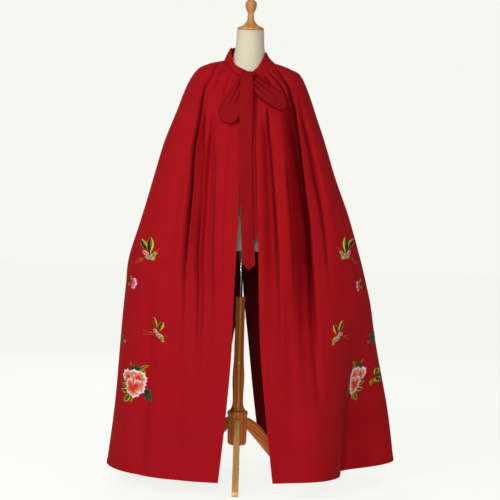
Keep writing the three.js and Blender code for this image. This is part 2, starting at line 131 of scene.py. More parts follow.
# The smaller folds that Blender adds, in the same columns.
SMALL_FOLDS = [
    (-66, -47, -36, 5.0, 7.0, 9.0, 12.0, 4, 5, 5),
    (-28, -19, -10, 5.0, 8.0, 10.0, 13.5, 4, 4, 4),
    (-20, -12, -7, 3.0, 5.0, 8.0, 12.0, 3, 3, 3),
    (48, 34, 26, 6.0, 8.0, 10.0, 13.0, 5, 4, 3),
    (30, 24, 20, 5.0, 7.5, 10.0, 13.5, 6, 4, 4),
    (88, 74, 66, 5.0, 7.0, 9.0, 12.5, 5, 6, 6),
]
# Where two folds meet in a sharp line: depth, reach to either side in degrees, then its sections and
# angles from top to bottom. The first ones run out of the gathers beside the bow.
LINES = [
    (9, 6, 3, (0.4, 1.4, 2.4, 3.4, 4.4, 5.4), (60, 53.5, 49, 48, 47, 45)),
    (6, 4, 3, (0.3, 0.9, 2.5, 3.3), (54, 48.5, 45, 44)),
    (9, 4, 3, (0.3, 1.2, 2.4, 3.9, 5.2), (42, 39, 40, 42, 44)),
    (8, 4, 3, (0.3, 1.4, 2.7, 3.4), (30, 29, 31.5, 33)),
    (6, 3, 3, (0.3, 1.2, 2.2), (23, 22, 19)),
    (5, 4, 4, (0.3, 1.0, 2.2), (70, 63, 58)),
    (4.5, 5, 4, (0.4, 1.3, 2.4, 3.2, 4.4), (-72, -65, -51, -48, -46)),
    (2.5, 5, 4, (0.3, 1.2, 2.6, 4.2), (-54, -48, -40, -37)),
    (2.2, 4, 4, (0.3, 1.4, 3.0, 5.0), (-34, -31, -27, -24)),
    (15, 3.6, 1.6, (2.6, 3.7, 4.9, 5.8, 7.2, 8.9, 9.9, 11.6),
     (-52.5, -49, -43, -39, -33, -28.8, -27.8, -26.8)),
    (14, 3, 1.8, (4.4, 5.2, 6.2, 7.5, 9.5, 10.6, 11.8), (-40, -35.6, -29.2, -25.2, -21.4, -19.8, -18.8)),
    (18, 6, 1.8, (2.6, 3.6, 4.8, 5.7, 6.4, 7.2, 7.9, 8.6, 9.6, 10.6, 12.4),
     (50, 49, 45.4, 41.6, 39, 36.8, 35, 33.6, 32.2, 31.4, 29.4)),
    (7, 2.6, 1.2, (3.4, 4.1, 5.5, 6.3, 7.9, 9.9, 11.8), (20, 18.8, 17.7, 17.5, 16.9, 16.6, 16)),
    (5, 2.5, 4, (4.5, 6.0, 8.0, 10.5), (57, 50, 45, 41)),
    (4, 4, 2, (5.5, 7.0, 9.0, 11.5), (-22, -18, -14, -11)),
    (4, 3, 3, (6.0, 7.6, 9.2, 11.2), (28, 25.5, 24, 22)),
]
# Creases of the cloth in front elevation: both ends, depth and half width, in mm.
CREASES = named(
    "x0 z0 x1 z1 depth half",
    [
        (-321, 738, -250, 722, 2.2, 9),
        (-258, 724, -182, 716, 1.6, 8),
        (233, 729, 321, 754, 2.0, 9),
        (-310, 474, -285, 429, 3.0, 13),
        (-288, 434, -270, 380, 3.2, 13),
        (-271, 388, -268, 290, 2.4, 14),
        (-101, 498, -62, 432, 1.8, 10),
        (-66, 436, -20, 362, 1.6, 10),
        (-136, 462, -104, 418, 1.2, 9),
        (150, 560, 214, 470, 1.4, 12),
        (118, 420, 176, 330, 1.2, 12),
    ],
)


# The cape's surface

def along(column, row):
    """Catmull-Rom through one column of a table, at real row numbers."""
    last = len(column) - 1
    i = np.clip(np.floor(row).astype(int), 0, last - 1)
    t = row - i
    a, b, c, d = (column[np.clip(i + k, 0, last)] for k in (-1, 0, 1, 2))
    return b + 0.5 * t * (c - a + t * (2 * a - 5 * b + 4 * c - d + t * (3 * (b - c) + d - a)))


def smooth(low, high, x):
    """3t^2 - 2t^3 of the share of x between low and high."""
    t = np.clip((x - low) / (high - low), 0, 1)
    return t * t * (3 - 2 * t)


def fold_depth(fold, angle, row):
    """Depth times (0.5 + 0.5 cos(pi share))^1.3 across, times a soft start and end along the cloth.

    The middle runs on the parabola through the three angles, and share is the distance from it.
    """
    collar, bust, hem, start, full, fade, end, depth, minus, plus = fold
    middle = np.radians(
        collar * (row - BUST) * (row - HEM) / (BUST * HEM)
        + bust * row * (row - HEM) / (BUST * (BUST - HEM))
        + hem * row * (row - BUST) / (HEM * (HEM - BUST))
    )
    away = np.arctan2(np.sin(angle - middle), np.cos(angle - middle))
    share = np.minimum(1, np.abs(away) / np.radians(np.where(away < 0, minus, plus)))
    across = (0.5 + 0.5 * np.cos(np.pi * share)) ** 1.3
    return depth * across * smooth(start, full, row) * (1 - smooth(fade, end, row))


def line_away(line, angle, row):
    """Degrees from a line, and how much of it is there at a section."""
    rows, angles = line[3], line[4]
    away = np.degrees(angle) - np.interp(row, rows, angles)
    span = rows[-1] - rows[0]
    start = smooth(rows[0], rows[0] + min(0.9, 0.3 * span), row)
    return away, start * (1 - smooth(rows[-1] - 0.45 * span, rows[-1], row))


def line_depth(line, angle, row):
    """A valley with a sharp bottom: depth times (1 - share)^1.7, share being the distance from it."""
    away, there = line_away(line, angle, row)
    share = np.minimum(1, np.abs(away) / np.where(away < 0, line[1], line[2]))
    return line[0] * (1 - share) ** 1.7 * there


def gather_phase(angle):
    """Where a point is among the gathers: 2 pi from one roll to the next, which aren't all as wide."""
    return GATHERS * angle + 0.8 * np.sin(3 * angle)


def fold_shade(angle, row):
    """How little light gets down into the sharp lines and the side and back gathers, from 0 to 1."""
    shade = np.zeros(np.broadcast(angle, row).shape)
    for line in LINES:
        away, there = line_away(line, angle, row)
        near = np.exp(-((away / np.where(away < 0, 0.34 * line[1] + 0.2, 0.18 * line[2] + 0.3)) ** 2))
        shade = np.maximum(shade, near * there * min(1, line[0] / 9))
    valley = (1 - np.abs(np.cos(gather_phase(angle) / 2))) ** 3
    back = smooth(np.radians(70), np.radians(80), np.abs(angle))
    yoke = smooth(0, 0.5, row) * (1 - smooth(1.6, 4.2, row)) * back
    return np.maximum(shade, 0.6 * valley * yoke)


def envelope(angle, row):
    """The smooth form under the folds: x = middle + reach sin a, y = -depth cos a, and the height
    blends from the side's to the front's or back's by sin^2 a and cos^2 a."""
    s, c = np.sin(angle), np.cos(angle)

    def at(name):
        return along(SECTIONS[name], row)

    reach = np.where(s > 0, at("left"), at("right"))
    depth = np.where(c > 0, at("front"), at("back"))
    side = np.where(s > 0, at("zLeft"), at("zRight"))
    middle = np.where(c > 0, at("zFront"), at("zBack"))
    return np.stack([at("x") + reach * s, -depth * c, side * s * s + middle * c * c], -1)


def normal_of(surface, u, v, step=0.01):
    """The outward unit normal of a surface of two numbers: d/dv cross d/du."""
    du = surface(u + step, v) - surface(u - step, v)
    dv = surface(u, v + step) - surface(u, np.maximum(v - step, 0))
    n = np.cross(dv, du)
    return n / np.maximum(np.linalg.norm(n, axis=-1, keepdims=True), 1e-9)


def front_edges(row):
    """The angles of the wearer's right and left front edges at a section."""
    right = np.arcsin(along(SECTIONS["edgeR"], row) / along(SECTIONS["right"], row))
    left = np.arcsin(along(SECTIONS["edgeL"], row) / along(SECTIONS["left"], row))
    return right, left


def front_reach(row):
    """About how many mm of the cloth one radian is at a section, near the front."""
    return along(SECTIONS["front"], row) + 40 * (row / HEM)


def vent_angle(side, row):
    """The angle of the slit's edge in the back."""
    half = np.maximum(SEAM_GAP / 2, along(SECTIONS["vent"], row))
    return np.pi - np.arcsin(half / along(SECTIONS[side], row))


def crease_depth(x, z, crease):
    """The depth of a crease at a point of the front, in mm: a bell round its segment."""
    x0, z0, x1, z1, depth, half = crease
    t = np.clip(((x - x0) * (x1 - x0) + (z - z0) * (z1 - z0)) / ((x1 - x0) ** 2 + (z1 - z0) ** 2), 0, 1)
    away = np.hypot(x - x0 - t * (x1 - x0), z - z0 - t * (z1 - z0))
    return depth * np.exp(-((away / half) ** 2)) * np.sin(np.pi * np.clip(t, 0.02, 0.98)) ** 0.7


def window(low, high, soft, x):
    """One between low and high, with soft ends, zero elsewhere."""
    return smooth(low - soft, low + soft, x) * (1 - smooth(high - soft, high + soft, x))


def gathers(angle, row):
    """Rolls of the gathered seam: rise x |cos(phase / 2)|^0.8, flatter on top of the shoulders, with
    crinkles between them; beside the bow the cloth is lifted for its own lines."""
    sizes = bpy.context.scene.opera_cape_sizes
    degrees = np.degrees(angle)
    front = window(-70, 70, 6, degrees)
    sides = window(62, 112, 8, np.abs(degrees))
    phase = gather_phase(angle)
    wave = np.abs(np.cos(phase / 2)) ** 0.8
    strength = smooth(0, 1.2, row) * (1 - smooth(2.2, 5.4, row)) * (1 - front) * (1 - 0.75 * sides)
    crinkle = np.cos(2.6 * phase + 1.9 * np.sin(5 * angle))
    crinkle = crinkle * smooth(0, 0.3, row) * (1 - smooth(0.9, 2.8, row))
    lift = sizes.lift * window(14, 66, 7, degrees) + 0.4 * sizes.lift * window(-68, -14, 8, degrees)
    lift = lift * smooth(0, 0.8, row) * (1 - smooth(3.2, 5.4, row))
    return sizes.gather_rise * wave * strength + lift + sizes.crinkle * crinkle * (1 - 0.6 * front)


def cloth_detail(angle, row):
    """Small folds, creases, a slow unevenness, and the turned-in hem and front edges, in mm."""
    sizes = bpy.context.scene.opera_cape_sizes
    base = envelope(angle, row)
    low = sum(fold_depth(f, angle, row) for f in SMALL_FOLDS) + sum(line_depth(k, angle, row) for k in LINES)
    front = smooth(0.05, 0.25, np.cos(angle))
    creases = zip(*CREASES.values())
    low = low + front * sum(crease_depth(base[..., 0], base[..., 2], c) for c in creases)
    wide = np.sin(7.3 * angle + 0.9 * row + 1.0) * np.sin(1.7 * row + 2.1 * angle)
    wide = wide + 0.6 * np.sin(16.7 * angle - 1.3 * row) * np.sin(2.9 * row + 0.4)
    high = sizes.unevenness * wide * smooth(2.5, 6, row)
    hem = smooth(HEM_TOP, HEM_STEP, row)
    right, left = front_edges(row)
    reach = front_reach(row)
    near = np.where(np.abs(angle) < 1.2, np.minimum(np.abs(angle - right), np.abs(angle - left)) * reach, 99)
    edge = (1 - smooth(11.5, 13.5, near)) * smooth(0.6, 2.0, row)
    seam = np.exp(-(((np.abs(angle) - SIDE_SEAM) * reach / 3.5) ** 2))
    middle = np.exp(-(((np.pi - np.abs(angle)) * reach / 3.5) ** 2)) * (1 - smooth(9.0, 9.8, row))
    sunk = 1.1 * np.maximum(seam, middle) * smooth(0.2, 1, row)
    return high - low + sizes.turning * np.maximum(hem, edge) - sunk


def cape_point(angle, row, out=0.0):
    """The cape's outer surface: the envelope moved along its normal by gathers less folds, with the
    small detail, and moved out by a further distance. On the shoulders a soft maximum keeps it from
    sinking under SHOULDER_FLOOR. The folds of the wearer's left front also lean over by depth x tan a,
    so that they go straight back behind their sharp edge."""
    angle, row = np.broadcast_arrays(np.asarray(angle, float), np.asarray(row, float))
    folds = sum(fold_depth(f, angle, row) for f in FOLDS)
    rise = gathers(angle, row) - folds + cloth_detail(angle, row)
    degrees = np.degrees(angle)
    share = LEAN * window(18, 52, 8, degrees) * smooth(3.5, 4.8, row) * (1 - smooth(9.5, 12.5, row))
    lean = share * np.tan(np.clip(angle, 0, 0.9)) * (folds + sum(line_depth(k, angle, row) for k in LINES))
    aside = np.stack([np.cos(angle), np.sin(angle), 0 * angle], -1) * lean[..., None]
    sharp = 2.5  # how sharply the soft maximum turns, per mm
    above = SHOULDER_FLOOR + np.logaddexp(0, sharp * (rise - SHOULDER_FLOOR)) / sharp
    rise = above + (rise - above) * smooth(3.4, 4.2, row)
    return envelope(angle, row) + normal_of(envelope, angle, row) * (rise + out)[..., None] + aside


def front_spot(x, z):
    """The angle and section of the smooth front at a given x and height.

    Each of 8 rounds halves the sections 22 times at the last angle, then takes the angle from x.
    """
    x, z = np.broadcast_arrays(np.asarray(x, float), np.asarray(z, float))
    angle = np.zeros(x.shape)
    for _ in range(8):
        low, high = np.zeros(x.shape), np.full(x.shape, float(HEM))
        for _ in range(22):
            row = (low + high) / 2
            above = envelope(angle, row)[..., 2] > z
            low, high = np.where(above, row, low), np.where(above, high, row)
        reach = np.where(x > 0, along(SECTIONS["left"], row), along(SECTIONS["right"], row))
        angle = np.arcsin(np.clip((x - along(SECTIONS["x"], row)) / reach, -1, 1))
    return angle, row


def over_front(x, z, out):
    """The point a distance out from the smooth front, at a given x and height."""
    x, z, out = np.broadcast_arrays(*(np.asarray(value, float) for value in (x, z, out)))
    angle, row = front_spot(x, z)
    return envelope(angle, row) + normal_of(envelope, angle, row) * out[..., None]


# Meshes

def grid_faces(rows, columns, first=0):
    """Quads of a grid of points that faces outwards when it runs round to the left and down."""
    j, i = np.mgrid[0 : rows - 1, 0 : columns - 1]
    a = first + j * columns + i
    return np.stack([a, a + columns, a + columns + 1, a + 1], -1).reshape(-1, 4)


def metric_uv(points):
    """UV in metres: the distance across from the first column, and down the middle column."""
    step = np.linalg.norm(np.diff(points, axis=1), axis=-1)
    across = np.concatenate([np.zeros((len(points), 1)), np.cumsum(step, axis=1)], axis=1)
    middle = points[:, points.shape[1] // 2]
    drop = np.concatenate([[0], np.cumsum(np.linalg.norm(np.diff(middle, axis=0), axis=-1))])
    return np.stack([across, np.broadcast_to(drop[:, None], across.shape)], -1) * MM


def make_piece(name, grids, material, stands_for=(), colours=None, uvs=None, merge=False, wall=0.0,
               shade=None, inner_shade_material=None):
    """One object from several grids of points in mm, riding on the frame.

    colours holds a colour for each point of each grid, shade a number for each point of the first,
    wall adds a Solidify inwards in mm, and the last argument is the inner side's material, in painted shade.
    """
    uvs = uvs or [metric_uv(grid) for grid in grids]
    points = np.concatenate([grid.reshape(-1, 3) for grid in grids]) * MM
    points += np.array([AXIS.x, AXIS.y, 0])
    faces, first = [], 0
    for grid in grids:
        faces.append(grid_faces(grid.shape[0], grid.shape[1], first))
        first += grid.shape[0] * grid.shape[1]
    faces = np.concatenate(faces)
    mesh = bpy.data.meshes.new(name)
    mesh.vertices.add(len(points))
    mesh.vertices.foreach_set("co", points.astype(np.float32).ravel())
    mesh.loops.add(faces.size)
    mesh.loops.foreach_set("vertex_index", faces.ravel().astype(np.int32))
    mesh.polygons.add(len(faces))
    mesh.polygons.foreach_set("loop_start", np.arange(0, faces.size, 4, dtype=np.int32))
    mesh.polygons.foreach_set("use_smooth", np.ones(len(faces), bool))
    mesh.update(calc_edges=True)
    uv = np.concatenate([u.reshape(-1, 2) for u in uvs])
    mesh.uv_layers.new(name="Cloth").data.foreach_set("uv", uv[faces.ravel()].astype(np.float32).ravel())
    if colours is not None:
        flat = np.concatenate([c.reshape(-1, 3) for c in colours])
        flat = np.concatenate([flat, np.ones((len(flat), 1))], 1)
        paint = mesh.color_attributes.new("thread_colour", "FLOAT_COLOR", "POINT")
        paint.data.foreach_set("color", flat.astype(np.float32).ravel())
    if shade is not None:
        depth = mesh.attributes.new("fold_shade", "FLOAT", "POINT")
        depth.data.foreach_set("value", shade.astype(np.float32).ravel())
    if merge:
        work = bmesh.new()
        work.from_mesh(mesh)
        bmesh.ops.remove_doubles(work, verts=work.verts, dist=2e-6)
        bmesh.ops.dissolve_degenerate(work, edges=work.edges, dist=1e-7)
        work.to_mesh(mesh)
        work.free()
    mesh.materials.append(material)
    piece = bpy.data.objects.new(name, mesh)
    bpy.context.scene.collection.objects.link(piece)
    if wall:
        solid = piece.modifiers.new("Wall", "SOLIDIFY")
        solid.thickness = wall * MM
        solid.offset = -1
        solid.use_even_offset = False
        # The inner faces take their own material: the cloth darkened as painted shade.
        if inner_shade_material:
            mesh.materials.append(inner_shade_material)
            solid.material_offset = 1
    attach(piece, "root")
    if stands_for:
        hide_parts(*stands_for)
    return piece


def cloth_rows(count):
    """Section numbers at even steps down the cloth, closer in the yoke and at the hem."""
    fine = np.linspace(0, HEM, 2400)
    line = envelope(np.full(fine.shape, 0.9), fine)
    step = np.linalg.norm(np.diff(line, axis=0), axis=1)
    step = step * np.where(fine[1:] < 3.5, 2, 1) * np.where(fine[1:] > HEM - 0.12, 4, 1)
    total = np.concatenate([[0], np.cumsum(step)])
    return np.interp(np.linspace(0, total[-1], count), total, fine)


def cloth_angles(low, high, rows, count):
    """Angles across a panel for each section, drawn together along the sharp lines and the edges."""
    share = np.linspace(0, 1, 700)
    fine = low[:, None] + (high - low)[:, None] * share
    row = rows[:, None]
    crowd = 1 + 3 * np.exp(-share * 60) + 3 * np.exp((share - 1) * 60)
    for line in LINES:
        away, there = line_away(line, fine, row)
        crowd = crowd + 3.5 * there * np.exp(-((away / 2) ** 2)) * min(1, line[0] / 8)
    total = np.cumsum(crowd, axis=1)
    total = (total - total[:, :1]) / (total[:, -1:] - total[:, :1])
    even = np.linspace(0, 1, count)
    return np.stack([np.interp(even, t, f) for t, f in zip(total, fine)])


def ring_points(row, angles):
    """A ring of an elliptical piece: x = middle + side sin a, y = -front or -back cos a.

    Its height blends from front or back to side by sin^2 a. A row has one side or a left and a right,
    and with dip the height over the wearer's right front goes over to the side's later and more steeply.
    """
    s, c = np.sin(angles), np.cos(angles)
    depth = np.where(c > 0, row["front"], row["back"])
    middle = np.where(c > 0, row["zFront"], row["zBack"])
    side = np.where(s > 0, row.get("left", row.get("side")), row.get("right", row.get("side")))
    z_side = np.where(s > 0, row.get("zLeft", row.get("zSide")), row.get("zRight", row.get("zSide")))
    up = s * s
    dip = np.where((s < 0) & (c > 0), row.get("dip", 0), 0)
    up = up + dip * (0.35 * np.abs(s) + 0.65 * s**8 - up)
    return np.stack([row["x"] + side * s, -depth * c, z_side * up + middle * (1 - up)], -1)


def along_rings(rings, t):
    """The same curve as along, with a ring of points in place of each number."""
    last = len(rings) - 1
    i = np.clip(np.floor(t).astype(int), 0, last - 1)
    f = (t - i)[:, None, None]
    a, b, c, d = (rings[np.clip(i + k, 0, last)] for k in (-1, 0, 1, 2))
    return b + 0.5 * f * (c - a + f * (2 * a - 5 * b + 4 * c - d + f * (3 * (b - c) + d - a)))


def lathe(profile, segments):
    """A profile of (radius, height) from the bottom up, turned round its axis."""
    radius, height = np.array(profile, float)[::-1].T
    angles = np.linspace(0, 2 * np.pi, segments + 1)
    x = radius[:, None] * np.sin(angles)
    y = -radius[:, None] * np.cos(angles)
    return np.stack([x, y, np.broadcast_to(height[:, None], x.shape)], -1)


def rounded(profile):
    """Corner-cutting of a profile, done twice: points at a quarter from it take a corner's place."""
    points = np.array(profile, float)
    for _ in range(2):
        a, b = points[:-1], points[1:]
        cut = np.stack([0.75 * a + 0.25 * b, 0.25 * a + 0.75 * b], 1).reshape(-1, 2)
        points = np.concatenate([points[:1], cut, points[-1:]])
    return points


# Materials

def group(name, inputs, outputs, build):
    """A node group with named value inputs and outputs, built once."""
    found = bpy.data.node_groups.get(name)
    if found:
        return found
    tree = bpy.data.node_groups.new(name, "ShaderNodeTree")
    for label, kind, value in inputs:
        socket = tree.interface.new_socket(label, in_out="INPUT", socket_type=kind)
        if value is not None:
            socket.default_value = value
    for label, kind in outputs:
        tree.interface.new_socket(label, in_out="OUTPUT", socket_type=kind)
    build(tree, tree.nodes.new("NodeGroupInput"), tree.nodes.new("NodeGroupOutput"))
    return tree


def scaled(colour, share):
    """A colour made darker."""
    return tuple(share * value for value in colour)


def set_inputs(node, values):
    """Puts a value on each named input of a node."""
    for label, value in values.items():
        node.inputs[label].default_value = value


def maths(tree, operation, a, b=None):
    """A Math node fed with sockets or numbers, and its result."""
    node = tree.nodes.new("ShaderNodeMath")
    node.operation = operation
    for socket, value in zip(node.inputs, (a, b)):
        if hasattr(value, "links"):
            tree.links.new(value, socket)
        elif value is not None:
            socket.default_value = value
    return node.outputs[0]


def noise(tree, vector, scale, detail=3.0, roughness=0.55):
    """A Noise Texture's factor on a vector."""
    node = tree.nodes.new("ShaderNodeTexNoise")
    set_inputs(node, {"Scale": scale, "Detail": detail, "Roughness": roughness})
    tree.links.new(vector, node.inputs["Vector"])
    return node.outputs["Fac"]


def blend_colour(tree, share, a, b):
    """A Mix node between two colours, each a socket or three numbers."""
    node = tree.nodes.new("ShaderNodeMix")
    node.data_type = "RGBA"
    for socket, value in ((node.inputs[0], share), (node.inputs[6], a), (node.inputs[7], b)):
        if hasattr(value, "links"):
            tree.links.new(value, socket)
        elif isinstance(value, (int, float)):
            socket.default_value = value
        else:
            socket.default_value = (*value, 1)
    return node.outputs[2]


def weave_group():
    """Plain weave: a product of sines across and along the threads, with slubs and a slow mottle."""

    def build(tree, given, result):
        split = tree.nodes.new("ShaderNodeSeparateXYZ")
        tree.links.new(given.outputs["UV"], split.inputs[0])
        across = maths(tree, "MULTIPLY", split.outputs[0], given.outputs["Threads"])
        along_it = maths(tree, "MULTIPLY", split.outputs[1], given.outputs["Threads"])
        warp = maths(tree, "SINE", across)
        weft = maths(tree, "SINE", along_it)
        height = maths(tree, "MULTIPLY", warp, weft)
        slub = noise(tree, given.outputs["UV"], 260.0, 2.0)
        slubs = maths(tree, "MULTIPLY", slub, 1.2)
        tree.links.new(maths(tree, "ADD", height, slubs), result.inputs["Height"])
        mottle = noise(tree, given.outputs["UV"], 9.0, 4.0)
        fine = noise(tree, given.outputs["UV"], 700.0, 1.0)
        both = maths(tree, "ADD", maths(tree, "MULTIPLY", mottle, 0.7), maths(tree, "MULTIPLY", fine, 0.3))
        tree.links.new(both, result.inputs["Mottle"])

    return group(
        "Plain weave",
        [("UV", "NodeSocketVector", None), ("Threads", "NodeSocketFloat", 5000.0)],
        [("Height", "NodeSocketFloat"), ("Mottle", "NodeSocketFloat")],
        build,
    )


def grain_group():
    """Wood grain on given coordinates, stretched along the wood: rings, streaks and pores."""

    def build(tree, given, result):
        turn = tree.nodes.new("ShaderNodeMapping")
        tree.links.new(given.outputs["Vector"], turn.inputs["Vector"])
        tree.links.new(given.outputs["Stretch"], turn.inputs["Scale"])
        vector = turn.outputs[0]
        streak = noise(tree, vector, 60.0, 5.0, 0.6)
        wave = tree.nodes.new("ShaderNodeTexWave")
        set_inputs(wave, {"Scale": 22.0, "Distortion": 5.0, "Detail": 3.0})
        tree.links.new(vector, wave.inputs["Vector"])
        rings = maths(tree, "MULTIPLY", wave.outputs["Fac"], 0.4)
        grain = maths(tree, "ADD", rings, maths(tree, "MULTIPLY", streak, 0.6))
        tree.links.new(grain, result.inputs["Grain"])
        pores = noise(tree, vector, 240.0, 2.0, 0.5)
        tree.links.new(maths(tree, "MULTIPLY", pores, grain), result.inputs["Height"])

    return group(
        "Wood grain",
        [("Vector", "NodeSocketVector", None), ("Stretch", "NodeSocketVector", (1, 1, 0.08))],
        [("Grain", "NodeSocketFloat"), ("Height", "NodeSocketFloat")],
        build,
    )


def new_material(name):
    """A material with its Principled shader, and its tree."""
    material = bpy.data.materials.new(name)
    material.use_nodes = True
    tree = material.node_tree
    return material, tree, tree.nodes["Principled BSDF"]


def add_bump(tree, shader, height, distance):
    """A Bump node from a height to the shader's Normal, its distance in metres."""
    bump = tree.nodes.new("ShaderNodeBump")
    bump.inputs["Distance"].default_value = distance
    tree.links.new(height, bump.inputs["Height"])
    tree.links.new(bump.outputs[0], shader.inputs["Normal"])


def cloth_material(name, colour, deep, threads=5000.0, roughness=0.7, bump=0.00012, sheen=0.0):
    """Woven cloth: the colour moves between two shades with the mottle, and the weave is a bump.

    Where the mesh has the mask fold_shade, the colour is darkened by it.
    """
    found = bpy.data.materials.get(name)
    if found:
        return found
    material, tree, shader = new_material(name)
    weave = tree.nodes.new("ShaderNodeGroup")
    weave.node_tree = weave_group()
    weave.inputs["Threads"].default_value = threads
    place = tree.nodes.new("ShaderNodeUVMap")
    place.uv_map = "Cloth"
    tree.links.new(place.outputs[0], weave.inputs["UV"])
    share = tree.nodes.new("ShaderNodeMapRange")
    set_inputs(share, {"From Min": 0.38, "From Max": 0.62})
    tree.links.new(weave.outputs["Mottle"], share.inputs["Value"])
    base = blend_colour(tree, share.outputs[0], deep, colour)
    fold = tree.nodes.new("ShaderNodeAttribute")
    fold.attribute_name = "fold_shade"
    dark = maths(tree, "MULTIPLY", fold.outputs["Fac"], 0.92)
    tree.links.new(blend_colour(tree, dark, base, scaled(colour, 0.1)), shader.inputs["Base Color"])
    rough = maths(tree, "MULTIPLY", weave.outputs["Mottle"], 0.12)
    tree.links.new(maths(tree, "ADD", rough, roughness - 0.06), shader.inputs["Roughness"])
    set_inputs(shader, {"Specular IOR Level": 0.06, "Sheen Weight": sheen, "Sheen Roughness": 0.5})
    set_inputs(shader, {"Sheen Tint": (*colour, 1)})
    add_bump(tree, shader, weave.outputs["Height"], bump)
    return material


def wood_material(name, light, dark, stretch, roughness, place="Object"):
    """Varnished wood: light and dark shades by the grain, with a clear coat."""
    found = bpy.data.materials.get(name)
    if found:
        return found
    material, tree, shader = new_material(name)
    grain = tree.nodes.new("ShaderNodeGroup")
    grain.node_tree = grain_group()
    grain.inputs["Stretch"].default_value = stretch
    spot = tree.nodes.new("ShaderNodeTexCoord")
    tree.links.new(spot.outputs[place], grain.inputs["Vector"])
    share = tree.nodes.new("ShaderNodeMapRange")
    set_inputs(share, {"From Min": 0.25, "From Max": 0.7})
    tree.links.new(grain.outputs["Grain"], share.inputs["Value"])
    tree.links.new(blend_colour(tree, share.outputs[0], dark, light), shader.inputs["Base Color"])
    rough = maths(tree, "MULTIPLY", grain.outputs["Grain"], 0.18)
    tree.links.new(maths(tree, "ADD", rough, roughness), shader.inputs["Roughness"])
    set_inputs(shader, {"Coat Weight": 0.3, "Coat Roughness": 0.2, "Specular IOR Level": 0.3})
    add_bump(tree, shader, grain.outputs["Height"], 0.0003)
    return material


def steel_material(colour):
    """Bright tube, drawn lengthwise: fine streaks in the roughness."""
    found = bpy.data.materials.get("bright_steel")
    if found:
        return found
    material, tree, shader = new_material("bright_steel")
    place = tree.nodes.new("ShaderNodeTexCoord")
    turn = tree.nodes.new("ShaderNodeMapping")
    turn.inputs["Scale"].default_value = (1, 1, 0.02)
    tree.links.new(place.outputs["Object"], turn.inputs["Vector"])
    streak = noise(tree, turn.outputs[0], 900.0, 3.0)
    rough = maths(tree, "MULTIPLY", streak, 0.25)
    tree.links.new(maths(tree, "ADD", rough, 0.14), shader.inputs["Roughness"])
    dull = noise(tree, place.outputs["Object"], 30.0, 3.0)
    tree.links.new(blend_colour(tree, dull, colour, scaled(colour, 0.82)), shader.inputs["Base Color"])
    shader.inputs["Metallic"].default_value = 1.0
    add_bump(tree, shader, streak, 0.00002)
    return material


def thread_material():
    """Embroidery floss: the point colours, with satin strands along each stitch."""
    found = bpy.data.materials.get("satin_thread")
    if found:
        return found
    material, tree, shader = new_material("satin_thread")
    paint = tree.nodes.new("ShaderNodeVertexColor")
    paint.layer_name = "thread_colour"
    place = tree.nodes.new("ShaderNodeUVMap")
    place.uv_map = "Cloth"
    split = tree.nodes.new("ShaderNodeSeparateXYZ")
    tree.links.new(place.outputs[0], split.inputs[0])
    strand = maths(tree, "SINE", maths(tree, "MULTIPLY", split.outputs[0], 9000.0))
    tone = noise(tree, place.outputs[0], 1500.0, 2.0)
    shade = blend_colour(tree, maths(tree, "MULTIPLY", tone, 0.35), paint.outputs[0], (0.02, 0.01, 0.01))
    tree.links.new(shade, shader.inputs["Base Color"])
    tree.links.new(maths(tree, "ADD", maths(tree, "MULTIPLY", tone, 0.2), 0.32), shader.inputs["Roughness"])
    shader.inputs["Specular IOR Level"].default_value = 0.14
    add_bump(tree, shader, strand, 0.00012)
    return material


def red_cloth():
    """The cape's own red cloth."""
    red = tuple(bpy.context.scene.opera_cape_colours.cloth)
    return cloth_material("cape_cloth", red, scaled(red, 0.9))


def inner_shade_cloth():
    """The cape's cloth, made darker as painted shade for the unlit inner side of the cape."""
    colour = scaled(bpy.context.scene.opera_cape_colours.cloth, 0.26)
    return cloth_material("cape_inner_painted_shade", colour, scaled(colour, 0.9))


def tie_cloth_painted_shade():
    """The same cloth, made darker by the tie share as painted shade, on the bow and the ties."""
    colours = bpy.context.scene.opera_cape_colours
    colour = scaled(colours.cloth, colours.tie)
    return cloth_material("tie_cloth_painted_shade", colour, scaled(colour, 0.88))


def brown_wood(name="turned_wood", stretch=(1, 1, 0.08), place="Object"):
    """The varnished brown wood of the stand."""
    brown = tuple(bpy.context.scene.opera_cape_colours.wood)
    return wood_material(name, brown, scaled(brown, 0.45), stretch, 0.34, place)


# Sizes and colours

def in_mm(name, description, default, **limits):
    """A size in millimetres."""
    return FloatProperty(name=name, description=f"{description}, in mm", default=default, **limits)


def in_colour(name, description, default):
    """A colour."""
    return FloatVectorProperty(name=name, description=description, subtype="COLOR", size=3, default=default)


class CapeSizes(bpy.types.PropertyGroup):
    """Sizes of the cloth."""

    cloth: in_mm("Cloth", "Wall of the cape and ties", 1.5, min=0.5)
    band: in_mm("Collar band", "Wall of the band collar", 2.5, min=1)
    gather_rise: in_mm("Gather rise", "How far a gather stands out", 4.5)
    crinkle: in_mm("Crinkle", "Small waves between the gathers", 0.9)
    unevenness: in_mm("Unevenness", "Slow waves of the hanging cloth", 1.3)
    turning: in_mm("Turned edge", "Step at the hem and front edges", 0.7)
    stitch: in_mm("Stitch", "Length of a stitch", 2.6, min=1)
    lift: in_mm("Lift", "Cloth lifted beside the bow", 7.0)
    columns: IntProperty(name="Columns", description="Points across a front panel", default=214, min=20)
    rows: IntProperty(name="Rows", description="Points down a panel", default=214, min=20)


class CapeColours(bpy.types.PropertyGroup):
    """Colours of the cape, the form and the stand."""

    cloth: in_colour("Cloth", "Red cloth", (0.385, 0.0046, 0.0092))
    # Painted shade: the bow and the ties take the cape's cloth darkened by this share.
    tie: FloatProperty(
        name="Tie shade", description="Brightness of the tie to the cape's cloth", default=0.75)
    linen: in_colour("Linen", "Cover of the form", (0.76, 0.70, 0.53))
    wood: in_colour("Wood", "Varnished wood", (0.95, 0.25, 0.045))
    cap: in_colour("Cap", "Tan wood of the neck cap", (0.60, 0.27, 0.075))
    pale_wood: in_colour("Pale wood", "Front leg", (1.0, 0.55, 0.16))
    steel: in_colour("Steel", "Pole and screw", (0.60, 0.57, 0.53))


